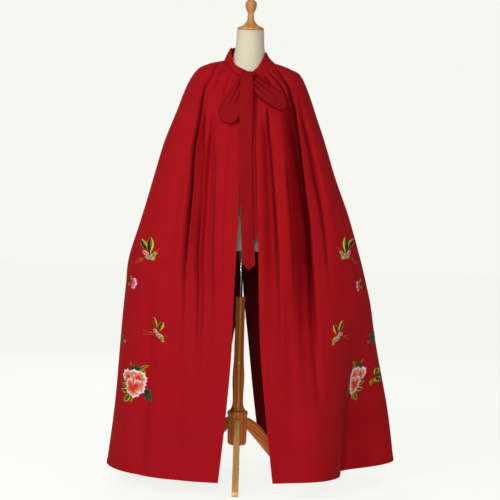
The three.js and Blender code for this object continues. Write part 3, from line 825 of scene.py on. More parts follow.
class StageSettings(bpy.types.PropertyGroup):
    """The camera and the light."""

    distance: FloatProperty(
        name="Distance", description="From the camera to the column's axis", default=3.5, unit="LENGTH")
    height: FloatProperty(name="Height", description="Camera above the floor", default=0.79, unit="LENGTH")
    lens: FloatProperty(name="Lens", description="Focal length, in mm", default=73.0)
    aside: FloatProperty(
        name="Aside", description="Camera to the right of the column's axis", default=0.0292, unit="LENGTH")
    roll: FloatProperty(
        name="Roll", description="Tilt of the picture", default=math.radians(1.4), subtype="ANGLE")
    sky: FloatProperty(name="Sky", description="Light of the surroundings", default=0.28)
    backdrop: FloatProperty(
        name="Backdrop", description="Brightness of what the camera sees behind", default=0.93)
    floor: FloatProperty(name="Floor", description="Glow of the floor that the camera sees", default=0.85)
    bounce: FloatProperty(name="Bounce", description="Glow of the floor that the cape gets", default=0.38)
    front: FloatProperty(
        name="Front light", description="Power of the light by the camera, in watts", default=58.0)
    key: FloatProperty(name="Key light", description="Power of the key light, in watts", default=74.0)
    fill: FloatProperty(name="Fill light", description="Power of the fill lights, in watts", default=6.0)


# Pieces

class CAPE_OT_panels(bpy.types.Operator):
    """Build the four panels of the cape, gathered at the collar seam and hanging in folds"""

    bl_idname = "cape.panels"
    bl_label = "Cape Panels"

    def execute(self, context):
        sizes = context.scene.opera_cape_sizes
        rows = cloth_rows(sizes.rows)
        half = SEAM_GAP / 2 / along(SECTIONS["front"], rows)
        right, left = front_edges(rows)
        edges = {
            "front_left": (left, SIDE_SEAM - half),
            "back_left": (SIDE_SEAM + half, vent_angle("left", rows)),
            "back_right": (-vent_angle("right", rows), -SIDE_SEAM - half),
            "front_right": (-SIDE_SEAM + half, right),
        }
        for name, (low, high) in edges.items():
            count = sizes.columns if name.startswith("front") else round(0.65 * sizes.columns)
            angle = cloth_angles(low, high, rows, count)
            grid, shade = cape_point(angle, rows[:, None]), fold_shade(angle, rows[:, None])
            piece = make_piece(f"cape_{name}", [grid], red_cloth(), [name], wall=sizes.cloth,
                               shade=shade, inner_shade_material=inner_shade_cloth())
        return {"FINISHED"}


# The collar's rings from its top to the seam, in mm, with the angle at which its two ends stop.
COLLAR = named_rows(
    "x zFront zLeft zRight zBack left right front back dip",
    [
        (12, 1391, 1474, 1487, 1506, 57, 66, 78, 62, 1),
        (12, 1382, 1452, 1462, 1488, 68, 78, 84, 71, 0.5),
        (12, 1371, 1432.6, 1438.6, 1467, 88.3, 88.3, 88.2, 80.2, 0),
    ],
)
COLLAR_END = math.radians(2)


class CAPE_OT_collar(bpy.types.Operator):
    """Build the stiffened band collar, with slow ripples"""

    bl_idname = "cape.collar"
    bl_label = "Band Collar"

    def execute(self, context):
        sizes = context.scene.opera_cape_sizes
        angles = np.linspace(COLLAR_END, 2 * np.pi - COLLAR_END, 240)
        rings = np.stack([ring_points(row, angles) for row in COLLAR])
        t = np.linspace(0, 2, 26)
        grid = along_rings(rings, t)
        out = np.stack([np.sin(angles), -np.cos(angles), np.full(angles.shape, 0.35)], -1)
        wave = 0.9 * np.sin(5 * angles + 0.6) * np.sin(9 * angles + 1.0)
        puff = np.sin(np.pi * t / 2)[:, None] * (0.9 + 0.6 * wave)
        pull = 0.9 * np.cos(GATHERS * angles) * smooth(1.2, 2, t)[:, None] * (1 - smooth(1.8, 2, t)[:, None])
        grid = grid + (puff + pull)[..., None] * out
        piece = make_piece("collar_band_cloth", [grid], red_cloth(), ["collar_band"],
                           wall=sizes.band)
        return {"FINISHED"}


# The bow's loops: the root's place, the direction in degrees below the wearer's left, the length, the
# width at root, middle and tip, and how far the lower layer and the puff stand out, in mm.
LOOPS = named_rows(
    "name x z heading length root middle tip low puff",
    [
        ("bow_loop_right", -1, 1357, 110, 172, 30, 60, 68, 2.8, 17),
        ("bow_loop_left", 22, 1350, 42, 146, 32, 62, 38, 3.8, 18),
    ],
)
LOOP_OPEN = 0.36  # where a loop's two layers leave the knot, as its turn in radians
CHEST_SLOPE = 0.93  # height lost per mm along the sloping chest
KNOT = dict(x=17, z=1374, out=12, half=(21, 9, 9), lean=math.radians(32))
# The hanging ends: stations from the knot down, all in mm, and the length of the point.
TIE_ENDS = {
    "tie_end_front": dict(
        point=18,
        stations=named("x z width out", [
            (-4, 1391, 12, 16), (1, 1380, 30, 21), (4, 1362, 38, 22), (5, 1325, 42, 21.5),
            (5, 1285, 42, 21.5), (5, 1240, 42, 21), (6, 1190, 42, 14), (7, 1130, 41, 8), (9, 1060, 40, 6),
            (12, 980, 40, 5.5), (17, 890, 40, 5), (22, 800, 41, 5), (27, 742, 41, 5),
        ]),
    ),
    "tie_end_back": dict(
        point=16,
        stations=named("x z width out", [
            (14, 1335, 30, 4), (15, 1300, 34, 4), (17, 1240, 38, 4), (19, 1190, 39, 3), (20, 1130, 39, 3),
            (22, 1060, 39, 2.5), (26, 980, 39, 2), (30, 900, 40, 2), (32, 832, 40, 2),
        ]),
    ),
}


def bow_loop(loop):
    """A loop of the tie and its shade: far = (1 - cos turn) / 2 runs out and back along the heading, the
    width is a parabola through root, middle and tip, and pinch pleats fade out from the knot."""
    heading = math.radians(loop["heading"])
    head_x, head_down = math.cos(heading), math.sin(heading)
    turn = np.linspace(LOOP_OPEN, 2 * np.pi - LOOP_OPEN, 90)[:, None]
    q = np.linspace(-1, 1, 41)[None, :]
    far = (1 - np.cos(turn)) / 2
    ends = loop["root"] * (1 - far) * (1 - 2 * far) + loop["tip"] * far * (2 * far - 1)
    width = ends + 4 * loop["middle"] * far * (1 - far)
    reach, aside = loop["length"] * far * (1 - 0.12 * far * np.abs(q) ** 3.4), q * width / 2
    layer = 0.5 + 0.5 * np.sin(turn) * np.minimum(1, 0.4 + far)
    fade = (1 - smooth(0.15, 0.85, far)) * smooth(0.0, 0.06, far)
    wave = np.abs(np.cos(1.6 * np.pi * q + 0.4))
    pleat = 3.6 * (wave**0.6 - 0.6) * fade * np.sign(np.sin(turn))
    sag = 1.4 * np.sin(3.1 * q + 5 * far) * far * (1 - far) * 4
    x = loop["x"] + reach * head_x + aside * head_down
    z = loop["z"] - (reach * head_down - aside * head_x) * CHEST_SLOPE
    out = loop["low"] + loop["puff"] * layer + np.where(np.sin(turn) > 0, pleat + sag, 0)
    shade = np.maximum(0.55 * smooth(0.84, 1, np.abs(q)), 0.9 * (1 - wave) ** 2 * fade)
    return over_front(x, z, out), shade


def tie_end(shape):
    """A hanging end: a strip along its stations, pleated where it leaves the knot, with a point."""
    stations, point = shape["stations"], shape["point"]
    last = len(stations["x"]) - 1
    row = np.linspace(0, last, 150)[:, None]
    q = np.linspace(-1, 1, 25)[None, :]
    x, z, width, out = (along(stations[k], row) for k in ("x", "z", "width", "out"))
    drop = point * (1 - np.abs(q)) * smooth(last - 0.6, last, row)
    pleat = 0.8 * np.cos(2.4 * np.pi * q + 0.5) * (1 - smooth(1.0, 3.5, row))
    curl = 0.9 * np.sin(np.pi * q + 1.9 * row) * smooth(2, 5, row)
    return over_front(x + q * width / 2, z - drop, out + pleat + curl)


def knot_points():
    """A rounded lump, |sin|^0.72 and |cos|^0.72 of its two angles, ridged by the wraps of the tie."""
    polar = np.linspace(0, np.pi, 48)[:, None]
    turn = np.linspace(0, 2 * np.pi, 97)[None, :]

    def boxy(value):
        return np.sign(value) * np.abs(value) ** 0.72

    x = np.sin(polar) * np.sin(turn)
    y = -np.sin(polar) * np.cos(turn)
    z = np.cos(polar) * np.ones(turn.shape)
    ridge = 1 + 0.05 * np.cos(9 * (z + 0.35 * x)) * smooth(1, 0.5, np.abs(z)) + 0.03 * np.sin(7 * x + 4 * z)
    half = KNOT["half"]
    local = np.stack([half[0] * boxy(x), half[1] * y, half[2] * boxy(z) * (1 - 0.12 * x * x)], -1)
    local = local * ridge[..., None]
    lean = KNOT["lean"]
    turned = np.stack([
        local[..., 0],
        local[..., 1] * math.cos(lean) + local[..., 2] * math.sin(lean),
        -local[..., 1] * math.sin(lean) + local[..., 2] * math.cos(lean),
    ], -1)
    return turned + over_front(KNOT["x"], KNOT["z"], KNOT["out"])


class CAPE_OT_bow(bpy.types.Operator):
    """Build the tied bow: the knot, its two loops and the two hanging ends"""

    bl_idname = "cape.bow"
    bl_label = "Tied Bow"

    def execute(self, context):
        wall, cloth = context.scene.opera_cape_sizes.cloth, tie_cloth_painted_shade()
        knot = make_piece("bow_knot_cloth", [knot_points()], cloth, ["bow_knot"], merge=True)
        for loop in LOOPS:
            name = loop["name"]
            grid, shade = bow_loop(loop)
            piece = make_piece(f"{name}_cloth", [grid], cloth, [name], wall=wall, shade=shade)
        for name, shape in TIE_ENDS.items():
            piece = make_piece(f"{name}_cloth", [tie_end(shape)], cloth, [name], wall=wall)
        return {"FINISHED"}


# The form's rings from the top of the neck to the flat base, in mm.
FORM_NECK = named_rows(
    "x zFront zSide zBack side front back",
    [
        (12.5, 1536, 1545.5, 1553, 47, 58, 42),
        (12.5, 1500, 1512, 1518, 48, 59, 45),
        (12, 1440, 1481, 1500, 51, 61, 50),
        (12, 1396, 1449, 1474, 59, 63, 56),
    ],
)
FORM_BODY = named_rows(
    "x zFront zSide zBack side front back",
    [
        (11, 1236, 1362, 1325, 178, 142, 130),
        (10, 1222, 1318, 1285, 168, 148, 126),
        (8, 1205, 1225, 1220, 151, 150, 116),
        (6, 1130, 1135, 1135, 131, 122, 101),
        (5, 1040, 1040, 1040, 113, 93, 84),
        (3, 960, 960, 960, 139, 110, 110),
        (2, 875, 875, 875, 163, 118, 130),
        (1, 810, 810, 810, 159, 113, 127),
        (0, 789, 789, 789, 154, 108, 121),
        (0, 785, 785, 785, 148, 102, 115),
    ],
)
UNDER_CLOTH = 2.5  # from the cape's outer side to the form on the shoulders, in mm


def form_points():
    """The form: neck rings, then the cape's own sections moved in on the shoulders, then the body."""
    angles = np.linspace(0, 2 * np.pi, 145)
    neck = along_rings(np.stack([ring_points(row, angles) for row in FORM_NECK]), np.linspace(0, 3, 31))
    leftward = np.abs(np.arctan2(np.sin(angles), np.cos(angles)))[None, :]
    rows = np.linspace(0, 3.5, 40)[:, None]
    leftward, rows = np.broadcast_arrays(leftward, rows)
    shoulder = envelope(leftward, rows) - UNDER_CLOTH * normal_of(envelope, leftward, rows)
    middle = along(SECTIONS["x"], rows)
    shoulder[..., 0] = middle + np.sign(np.sin(angles)) * (shoulder[..., 0] - middle)
    keys = np.concatenate([shoulder[-1:], np.stack([ring_points(row, angles) for row in FORM_BODY])])
    body = along_rings(keys, np.linspace(0, len(keys) - 1, 110))
    crown = np.broadcast_to(neck[0].mean(axis=0), neck[:1].shape)
    base = np.broadcast_to(body[-1].mean(axis=0), body[-1:].shape)
    return np.concatenate([crown, neck, shoulder[1:], body[1:], base])


class CAPE_OT_form(bpy.types.Operator):
    """Build the linen-covered dress form with its neck, waist and flat base"""

    bl_idname = "cape.form"
    bl_label = "Dress Form"

    def execute(self, context):
        pale = tuple(context.scene.opera_cape_colours.linen)
        linen = cloth_material("linen_cover", pale, scaled(pale, 0.88), threads=3600.0, roughness=0.85,
                               bump=0.0002, sheen=0.1)
        make_piece("dress_form_cover", [form_points()], linen, ["dress_form"], merge=True)
        return {"FINISHED"}


# Profiles of the turned parts as radius and height in mm. The cap's heights start at its own middle.
CAP_MIDDLE = (12.5, -8, 1545.3)
CAP_TILT = math.radians(10)
CAP_PROFILE = [
    (0, 0), (44, 0), (46, 2.5), (46, 7.5), (43, 11), (29, 17), (20, 24), (14.5, 31), (12.5, 37), (11, 40),
    (12.5, 45), (11, 50), (10, 54), (10.5, 59), (16, 69), (19.5, 80), (20.5, 90), (18.5, 96), (14, 99),
    (12, 103), (8, 107), (0, 108.5),
]
COLUMN_PROFILE = [
    (0, 236.4), (27, 236.4), (24, 241), (19.5, 250), (17.8, 264), (18.2, 290), (19.8, 320), (20.6, 350),
    (19.4, 380), (17.4, 402), (16.6, 430), (16.2, 552), (17.6, 555), (17.6, 560), (16.2, 563), (16.2, 617),
    (17.6, 620), (17.6, 626), (16, 628), (0, 628),
]
HUB_PROFILE = [
    (0, 118), (26, 118), (31, 121), (33, 127), (33, 220), (34.5, 222), (35.5, 227), (34.5, 232), (31, 236),
    (0, 236),
]
POLE_PROFILE = [(0, 628.3), (6.4, 628.3), (7, 629), (7, 784), (6.4, 784.7), (0, 784.7)]
SCREW_PROFILE = [(0, 0), (3.4, 0), (3.6, 0.2), (3.6, 3.7), (3.3, 4), (1.2, 4), (1.0, 3.2), (0, 3.2)]
SCREW_OUT, SCREW_HEIGHT = 18.5, 400  # where its head begins before the column's axis, and how high, in mm
# The legs: the control points of their upper and lower curves, as distance from the axis and height.
LEG_THICKNESS = 21.5
LEG_TOP = [(33.3, 212), (96, 186), (122, 132), (158, 92), (190, 58), (230, 30), (274, 20)]
LEG_UNDER = [(33.3, 173), (80, 132), (128, 66), (172, 32), (196, 14), (220, 4), (238, 0)]
TOE_REACH, TOE_HALF = 8, 10  # how far the round toe goes on past the upper curve, and half its height
SOLE, SOLE_END = 38, 6  # the flat sole behind the toe, and how far it runs out under the toe's end
LEG_POWER = 0.28  # the corners of the cross-section: 1 is an ellipse and 0 a rectangle


def tilted(grid):
    """The cap on the neck, leaning forward with the neck's top."""
    c, s = math.cos(CAP_TILT), math.sin(CAP_TILT)
    x, y, z = grid[..., 0], grid[..., 1], grid[..., 2]
    return np.stack([x, y * c - z * s, y * s + z * c], -1) + np.array(CAP_MIDDLE)


def bezier(points, count):
    """Cubic Bezier pieces end to end, each over four points that share their ends."""
    points = np.array(points, float)
    t = np.linspace(0, 1, count)[:, None]
    pieces = []
    for k in range(0, len(points) - 1, 3):
        a, b, c, d = points[k : k + 4]
        pieces.append((1 - t) ** 3 * a + 3 * t * (1 - t) ** 2 * b + 3 * t * t * (1 - t) * c + t**3 * d)
    return np.concatenate(pieces)


def leg_points(azimuth):
    """A leg: the cross-section is a rounded rectangle between the upper and the lower curve, carried
    from the hub to the foot, with the toe closed by ever smaller sections."""
    toe = np.linspace(0, 1, 12)[1:, None]
    lift = np.sqrt(np.maximum(1 - toe**2, 0))
    toe_top = [LEG_TOP[-1][0] + TOE_REACH * toe, TOE_HALF + TOE_HALF * lift]
    toe_under = [LEG_UNDER[-1][0] + SOLE * toe + SOLE_END * toe**6, TOE_HALF * toe**8]
    upper = np.concatenate([bezier(LEG_TOP, 26), np.concatenate(toe_top, 1)])
    under = np.concatenate([bezier(LEG_UNDER, 26), np.concatenate(toe_under, 1)])
    around = np.linspace(0, 2 * np.pi, 41)
    c, s = np.cos(around), np.sin(around)
    wide = np.sign(s) * np.abs(s) ** LEG_POWER
    tall = np.sign(c) * np.abs(c) ** LEG_POWER
    middle, half = (upper + under) / 2, (upper - under) / 2
    r = middle[:, :1] + half[:, :1] * tall
    z = middle[:, 1:] + half[:, 1:] * tall
    y = LEG_THICKNESS / 2 * wide * np.ones(r.shape)
    first, last = [np.broadcast_to(np.array(v), (1, 41)) for v in (r[0].mean(), r[-1].mean())]
    r = np.concatenate([first, r, last])
    z = np.concatenate([np.full((1, 41), z[0].mean()), z, np.full((1, 41), z[-1].mean())])
    y = np.concatenate([np.zeros((1, 41)), y, np.zeros((1, 41))])
    ca, sa = math.cos(azimuth), math.sin(azimuth)
    return np.stack([r * ca - y * sa, r * sa + y * ca, z], -1)[:, ::-1]


class CAPE_OT_stand(bpy.types.Operator):
    """Build the turned neck cap, the column, hub and legs of the stand, and its steel pole"""

    bl_idname = "cape.stand"
    bl_label = "Cap and Stand"

    def execute(self, context):
        colours = context.scene.opera_cape_colours
        wood, steel = brown_wood(), steel_material(tuple(colours.steel))
        tan, pale = tuple(colours.cap), tuple(colours.pale_wood)
        cap = wood_material("cap_wood", tan, scaled(tan, 0.72), (0.6, 0.6, 0.6), 0.36)
        front = wood_material("leg_pale_wood", pale, scaled(pale, 0.8), (1, 0.08, 1), 0.36, "UV")
        boards = brown_wood("leg_brown_wood", (1, 0.08, 1), "UV")
        turned = [
            ("neck_cap", tilted(lathe(rounded(CAP_PROFILE), 72)), cap, "brown_wood"),
            ("column", lathe(rounded(COLUMN_PROFILE), 72), wood, "brown_wood"),
            ("hub", lathe(rounded(HUB_PROFILE), 72), wood, "brown_wood"),
            ("pole", lathe(POLE_PROFILE, 48), steel, "steel"),
        ]
        for name, grid, material, slot in turned:
            make_piece(f"{name}_turned", [grid], material, [name], merge=True)
        legs = [("leg_front", -90, front, "pale_wood"), ("leg_back_left", 30, boards, "brown_wood"),
                ("leg_back_right", 150, boards, "brown_wood")]
        for name, azimuth, material, slot in legs:
            leg = leg_points(math.radians(azimuth))
            make_piece(f"{name}_board", [leg], material, [name], merge=True)
        screw = lathe(SCREW_PROFILE, 32)
        screw = np.stack([screw[..., 0], -screw[..., 2] - SCREW_OUT, screw[..., 1] + SCREW_HEIGHT], -1)
        make_piece("clamp_screw_head", [screw], steel, ["clamp_screw"], merge=True)
        return {"FINISHED"}


# Embroidery. Each motif is a list of stitched shapes in mm from its middle as seen from the front:
# right, up, the direction in degrees, the length, the half width, the kind and the layer. They are
# drawn for the wearer's right side, and are turned over for the left.
FLOWER = [
    (-1, 40, 125, 20, 8, "leaf", 0), (4, 40, 62, 18, 8, "leaf", 0), (-7, 50, 122, 17, 2.4, "lime", 0),
    (12, 38, 48, 15, 5, "leaf", 0), (14, 38, 29, 42, 4.6, "lime", 0), (22, 38, -16, 17, 5, "lime", 0),
    (28, 46, 52, 12, 3.4, "lime", 0), (-27, -4, 165, 19, 3.6, "leaf", 0), (-26, -18, 155, 24, 5, "lime", 0),
    (-20, -30, 184, 32, 8, "lime", 0), (-13, -42, 227, 38, 9, "lime", 0), (-6, -44, 262, 24, 5, "lime", 0),
    (31, -26, -14, 36, 11, "leaf", 0), (36, -32, -66, 30, 9, "leaf", 0), (50, -34, -56, 32, 7, "leaf", 0),
    (-11, -2, 124, 41, 17, "petal", 0), (-11, 0, 163, 28, 15, "petal", 0), (5, 2, 54, 39, 15, "petal", 0),
    (5, 0, 26, 38, 13, "petal", 0), (1, -16, -16, 33, 14, "petal", 0), (-1, -12, -80, 36, 19, "petal", 0),
    (-5, -10, 238, 30, 15, "petal", 0), (1, 2, 88, 36, 19, "petal", 1), (5, -8, 8, 32, 14, "petal", 1),
    (-2, -6, 196, 25, 13, "petal", 1), (0, -6, -50, 33, 14, "petal", 1),
    (-1, -20, 128, 33, 12, "petal", 2), (2, -20, 50, 32, 12, "petal", 2), (-1, -20, 86, 45, 6, "petal", 3),
]
BUD = [
    (-9, 0, 30, 20, 7, "pink", 0), (-9, -1, -8, 21, 7, "pink", 1), (-9, -3, -48, 20, 6, "pink", 0),
    (-7, 8, 105, 16, 3, "lime", 0), (-11, 4, 150, 13, 4, "leaf", 0), (-12, -4, 200, 12, 4, "lime", 0),
]
BUTTERFLY = [
    (-2, 0, 148, 29, 7, "hind", 0), (-5, 12, 125.7, 53, 10, "wing", 0), (0, 2, 89, 60, 13, "wing", 1),
    (-16, -4, -24, 22, 5, "body", 1), (-4, -12, 34, 32, 9, "body", 2), (6, -15, 20, 17, 5, "head", 1),
    (14, 0, 60, 16, 6, "body", 1), (20, 6, 8, 8, 4, "head", 3),
    (24, 14, 37, 17, 0.9, "line", 0), (24, -6, 2, 15, 0.8, "line", 0), (26, 8, 70, 10, 0.8, "line", 0),
    (-27, -12, 186, 8, 2.6, "knob", 1), (-16, -8, 200, 46, 0.9, "line", 0),
    (-18, -12, 205, 44, 0.8, "line", 0),
]
MOTH = [
    (-3, 8, 160, 22, 6, "hind", 0), (-5, 17, 114, 44, 8, "wing", 0), (1, 10, 68, 35, 9, "wing", 1),
    (-10, 10, -52, 26, 7, "body", 1), (-2, 2, -40, 26, 8, "body", 2), (12, -18, -30, 9, 5, "head", 3),
    (17, -8, 18, 17, 0.9, "line", 0), (16, -20, -46, 16, 0.9, "line", 0),
    (-29, 5, 184, 8, 2.4, "knob", 1), (-16, 6, 172, 46, 0.9, "line", 0), (-16, 2, 184, 44, 0.8, "line", 0),
]
SPRIG = [(0, 0, 92, 17, 6, "leaf", 0), (2, -2, -48, 14, 4, "lime", 0), (-4, 2, 150, 12, 4, "leaf", 0)]
BRANCH = [
    (0, 0, 165, 22, 7, "leaf", 0), (-4, 4, 118, 20, 7, "leaf", 0), (-2, -4, 215, 16, 5, "leaf", 0),
    (12, -6, 178, 16, 3, "lime", 0), (-2, 4, 60, 18, 6, "leaf", 0),
]
SPRAY = [
    (0, 0, 140, 26, 5, "lime", 0), (-4, -2, 178, 24, 5, "lime", 0), (0, -6, 236, 22, 6, "lime", 0),
    (4, 2, 80, 22, 5, "lime", 0), (-2, -2, 205, 16, 4, "leaf", 0), (4, -8, 270, 24, 4, "lime", 0),
]
MOTIFS = [  # motif, side, angle in degrees, section, share of the width that is seen
    (BUTTERFLY, -1, -52.4, 8.93, 1), (BUD, -1, -65.2, 9.83, 1), (MOTH, -1, -40.5, 10.77, 1),
    (SPRIG, -1, -74.4, 10.93, 1), (FLOWER, -1, -55.8, 11.59, 0.93),
    (BUTTERFLY, 1, 59.3, 8.86, 0.84), (BUD, 1, 67.5, 9.70, 0.6), (MOTH, 1, 43.2, 10.73, 0.9),
    (BRANCH, 1, 76.8, 10.78, 0.9), (FLOWER, 1, 62.4, 11.43, 0.66), (SPRAY, 1, 84.0, 11.41, 0.8),
]
FLOSS = {  # root, middle and rim colours of each kind of shape
    "petal": ((0.86, 0.022, 0.004), (0.92, 0.20, 0.07), (0.95, 0.92, 0.95)),
    "pink": ((0.80, 0.02, 0.16), (0.88, 0.16, 0.34), (0.94, 0.86, 0.88)),
    "leaf": ((0.003, 0.03, 0.010), (0.004, 0.10, 0.016), (0.012, 0.24, 0.03)),
    "lime": ((0.01, 0.07, 0.004), (0.07, 0.16, 0.004), (0.72, 0.64, 0.01)),
    "wing": ((0.003, 0.005, 0.005), (0.003, 0.010, 0.006), (0.74, 0.80, 0.01)),
    "hind": ((0.88, 0.10, 0.02), (0.88, 0.09, 0.02), (0.80, 0.80, 0.80)),
    "body": ((0.30, 0.38, 0.42), (0.05, 0.24, 0.10), (0.62, 0.56, 0.02)),
    "head": ((0.72, 0.56, 0.03), (0.50, 0.50, 0.04), (0.16, 0.30, 0.05)),
    "knob": ((0.66, 0.26, 0.03), (0.72, 0.34, 0.04), (0.50, 0.20, 0.03)),
    "line": ((0.46, 0.15, 0.02), (0.40, 0.12, 0.02), (0.40, 0.12, 0.02)),
}
LAYER = 0.45  # how far each layer of stitching lies above the last, in mm
PUFF = 0.9  # how far a shape is padded at its middle, in mm
STITCH_RADIUS = 0.32  # of the thread that sews the edges, in mm
STITCH_RISE = 0.42  # how far such a stitch stands out at its middle, in mm


def stitched(shape, s, t):
    """One shape on the flat cloth: s runs from root to tip and t across, from -1 to 1.

    Leaves, wings and bodies are half width x sin(pi s^p)^0.8 wide. A petal fans out and its rim is
    scalloped. Returns right and up in mm, height and colour.
    """
    right0, up0, heading, length, half, kind, layer = shape
    a = math.radians(heading)
    edge = np.abs(t)
    fans_out = kind in ("petal", "pink")
    if fans_out:
        open_ = min(1.2, half / length * 1.5)
        r = length * s * (1 + 0.06 * np.cos(3 * np.pi * t + heading) * s)
        u, v = r * np.cos(t * open_), r * np.sin(t * open_) * (1 - 0.22 * s**6)
        u = u + 0.10 * length * (1 - edge**2) * s - 0.12 * length * s * edge**4
        rim = np.maximum(smooth(0.77, 0.84, s), smooth(0.74, 0.84, edge) * smooth(0.15, 0.35, s))
    else:
        power = {"wing": 1.2, "leaf": 0.85, "lime": 0.8}.get(kind, 0.9)
        profile = 1
        if kind != "line":
            profile = np.sin(np.pi * np.clip(s, 0.001, 0.999) ** power) ** 0.8
        bend = 0.08 * length * np.sin(np.pi * s) if kind in ("leaf", "lime", "line") else 0
        tooth = 1 + 0.12 * np.cos(9 * np.pi * s) if kind in ("leaf", "lime") else 1
        u, v = length * s, t * half * profile * tooth + bend
        rim = smooth(0.50, 0.70, edge)
        if kind == "wing":
            rim = np.maximum(smooth(0.50, 0.64, -t), smooth(0.74, 0.88, t)) * smooth(0.0, 0.12, s)
        if kind == "leaf":
            rim = smooth(0.7, 1, edge)
    root, middle, outer = (np.array(c) for c in FLOSS[kind])
    along_it = (smooth(0.42, 0.72, s) if fans_out else smooth(0.1, 0.7, s))[..., None]
    colour = root * (1 - along_it) + middle * along_it
    if kind == "petal":
        streak = smooth(0.2, 0.8, 0.5 + 0.5 * np.cos(11 * t + 3 * heading))[..., None] * along_it
        colour = colour * (1 - 0.35 * streak) + np.array([0.90, 0.70, 0.60]) * 0.35 * streak
    if kind == "wing":
        green = (smooth(-0.1, 0.3, -t) * smooth(0.3, 0.6, s))[..., None]
        colour = colour * (1 - green) + np.array([0.008, 0.16, 0.02]) * green
        spots = sum(np.exp(-(((s - c) * length) ** 2 + (t * half - w * half) ** 2) / 4)
                    for c, w in ((0.22, -0.2), (0.38, -0.45), (0.54, -0.2), (0.68, -0.45), (0.82, -0.3)))
    colour = colour * (1 - rim[..., None]) + outer * rim[..., None]
    if kind == "wing":
        colour = colour + (np.array([0.92, 0.12, 0.01]) - colour) * np.clip(spots, 0, 1)[..., None]
    if kind == "body":
        for tone, phase in (((0.86, 0.12, 0.02), 0.0), ((0.75, 0.78, 0.80), 2.1), ((0.60, 0.54, 0.03), 4.2)):
            patch = smooth(0.55, 0.8, np.sin(15 * s + phase + 2 * t) * np.cos(2.6 * t + phase))[..., None]
            colour = colour * (1 - patch) + np.array(tone) * patch
    if kind in ("leaf", "lime"):
        vein = np.exp(-((t / 0.16) ** 2))[..., None]
        colour = colour * (1 - 0.7 * vein)
    swell = np.sqrt(np.clip(1 - edge**2, 0, 1)) * np.clip(np.sin(np.pi * np.clip(s, 0, 1)), 0, 1) ** 0.35
    padding = min(PUFF, 0.6 * half)
    height = -0.35 + (LAYER * (layer + 1) + padding) * np.clip(swell, 0, 1)
    return right0 + u * math.cos(a) - v * math.sin(a), up0 + u * math.sin(a) + v * math.cos(a), height, colour


def motif_grids(motif, side, degrees, row, narrow):
    """All shapes of a motif, laid on the cape where they are seen from the front round its middle."""
    middle = envelope(np.array(math.radians(degrees)), np.array(float(row)))
    grids, colours, uvs = [], [], []
    for shape in motif:
        thin = shape[5] == "line"
        s, t = np.meshgrid(np.linspace(0, 1, 19), np.linspace(-1, 1, 5 if thin else 17), indexing="ij")
        right, up, height, colour = stitched(shape, s, t)
        angle, place = front_spot(middle[0] - side * narrow * right, middle[2] + up)
        points = cape_point(angle, place, height)
        if side < 0:
            points, colour, t = points[:, ::-1], colour[:, ::-1], t[:, ::-1]
        grids.append(points)
        colours.append(colour)
        uvs.append(np.stack([t * shape[4], s * shape[3]], -1) * MM)
    return grids, colours, uvs


class CAPE_OT_embroidery(bpy.types.Operator):
    """Stitch the butterflies, buds, leaves and flowers on the two front panels"""

    bl_idname = "cape.embroidery"
    bl_label = "Embroidery"

    def execute(self, context):
        for side, name in ((-1, "embroidery_right"), (1, "embroidery_left")):
            grids, colours, uvs = [], [], []
            for motif, where, degrees, row, narrow in MOTIFS:
                if where == side:
                    more = motif_grids(motif, side, degrees, row, narrow)
                    grids, colours, uvs = grids + more[0], colours + more[1], uvs + more[2]
            make_piece(name, grids, thread_material(), colours=colours, uvs=uvs)
        return {"FINISHED"}


FROM_EDGE = 10  # from the edges of the fronts and the vent to their stitching, in mm
# Where the hem's stitches stop, in radians from the front edges and from the middle of the back.
FROM_FRONTS, FROM_BACK = 0.04, 0.27
VENT_STITCHES = 10.3  # the section where the vent's stitching begins


def stitches(path, out, length, pitch):
    """Small capsules along a path: five rings of six points, from one path point to the next."""
    step = np.linalg.norm(np.diff(path, axis=0), axis=1)
    total = np.concatenate([[0], np.cumsum(step)])
    starts = np.arange(pitch, total[-1] - pitch, pitch)
    at = np.stack([np.interp(starts, total, path[:, k]) for k in range(3)], -1)
    to = np.stack([np.interp(starts + length, total, path[:, k]) for k in range(3)], -1)
    lift = np.stack([np.interp(starts, total, out[:, k]) for k in range(3)], -1)
    forward = to - at
    aside = np.cross(lift, forward)
    aside /= np.linalg.norm(aside, axis=1, keepdims=True)
    s = np.array([0, 0.12, 0.5, 0.88, 1])[:, None]
    radius = STITCH_RADIUS * np.array([0.02, 0.7, 1, 0.7, 0.02])[:, None]
    rise = STITCH_RISE * np.array([-0.6, 0.35, 1, 0.35, -0.6])[:, None]
    around = np.linspace(0, 2 * np.pi, 7)
    grid = (
        at[:, None, None] + forward[:, None, None] * s[None, ..., None]
        + lift[:, None, None] * (rise + radius * np.sin(around))[None, ..., None]
        + aside[:, None, None] * (radius * np.cos(around))[None, ..., None]
    )
    return list(grid)


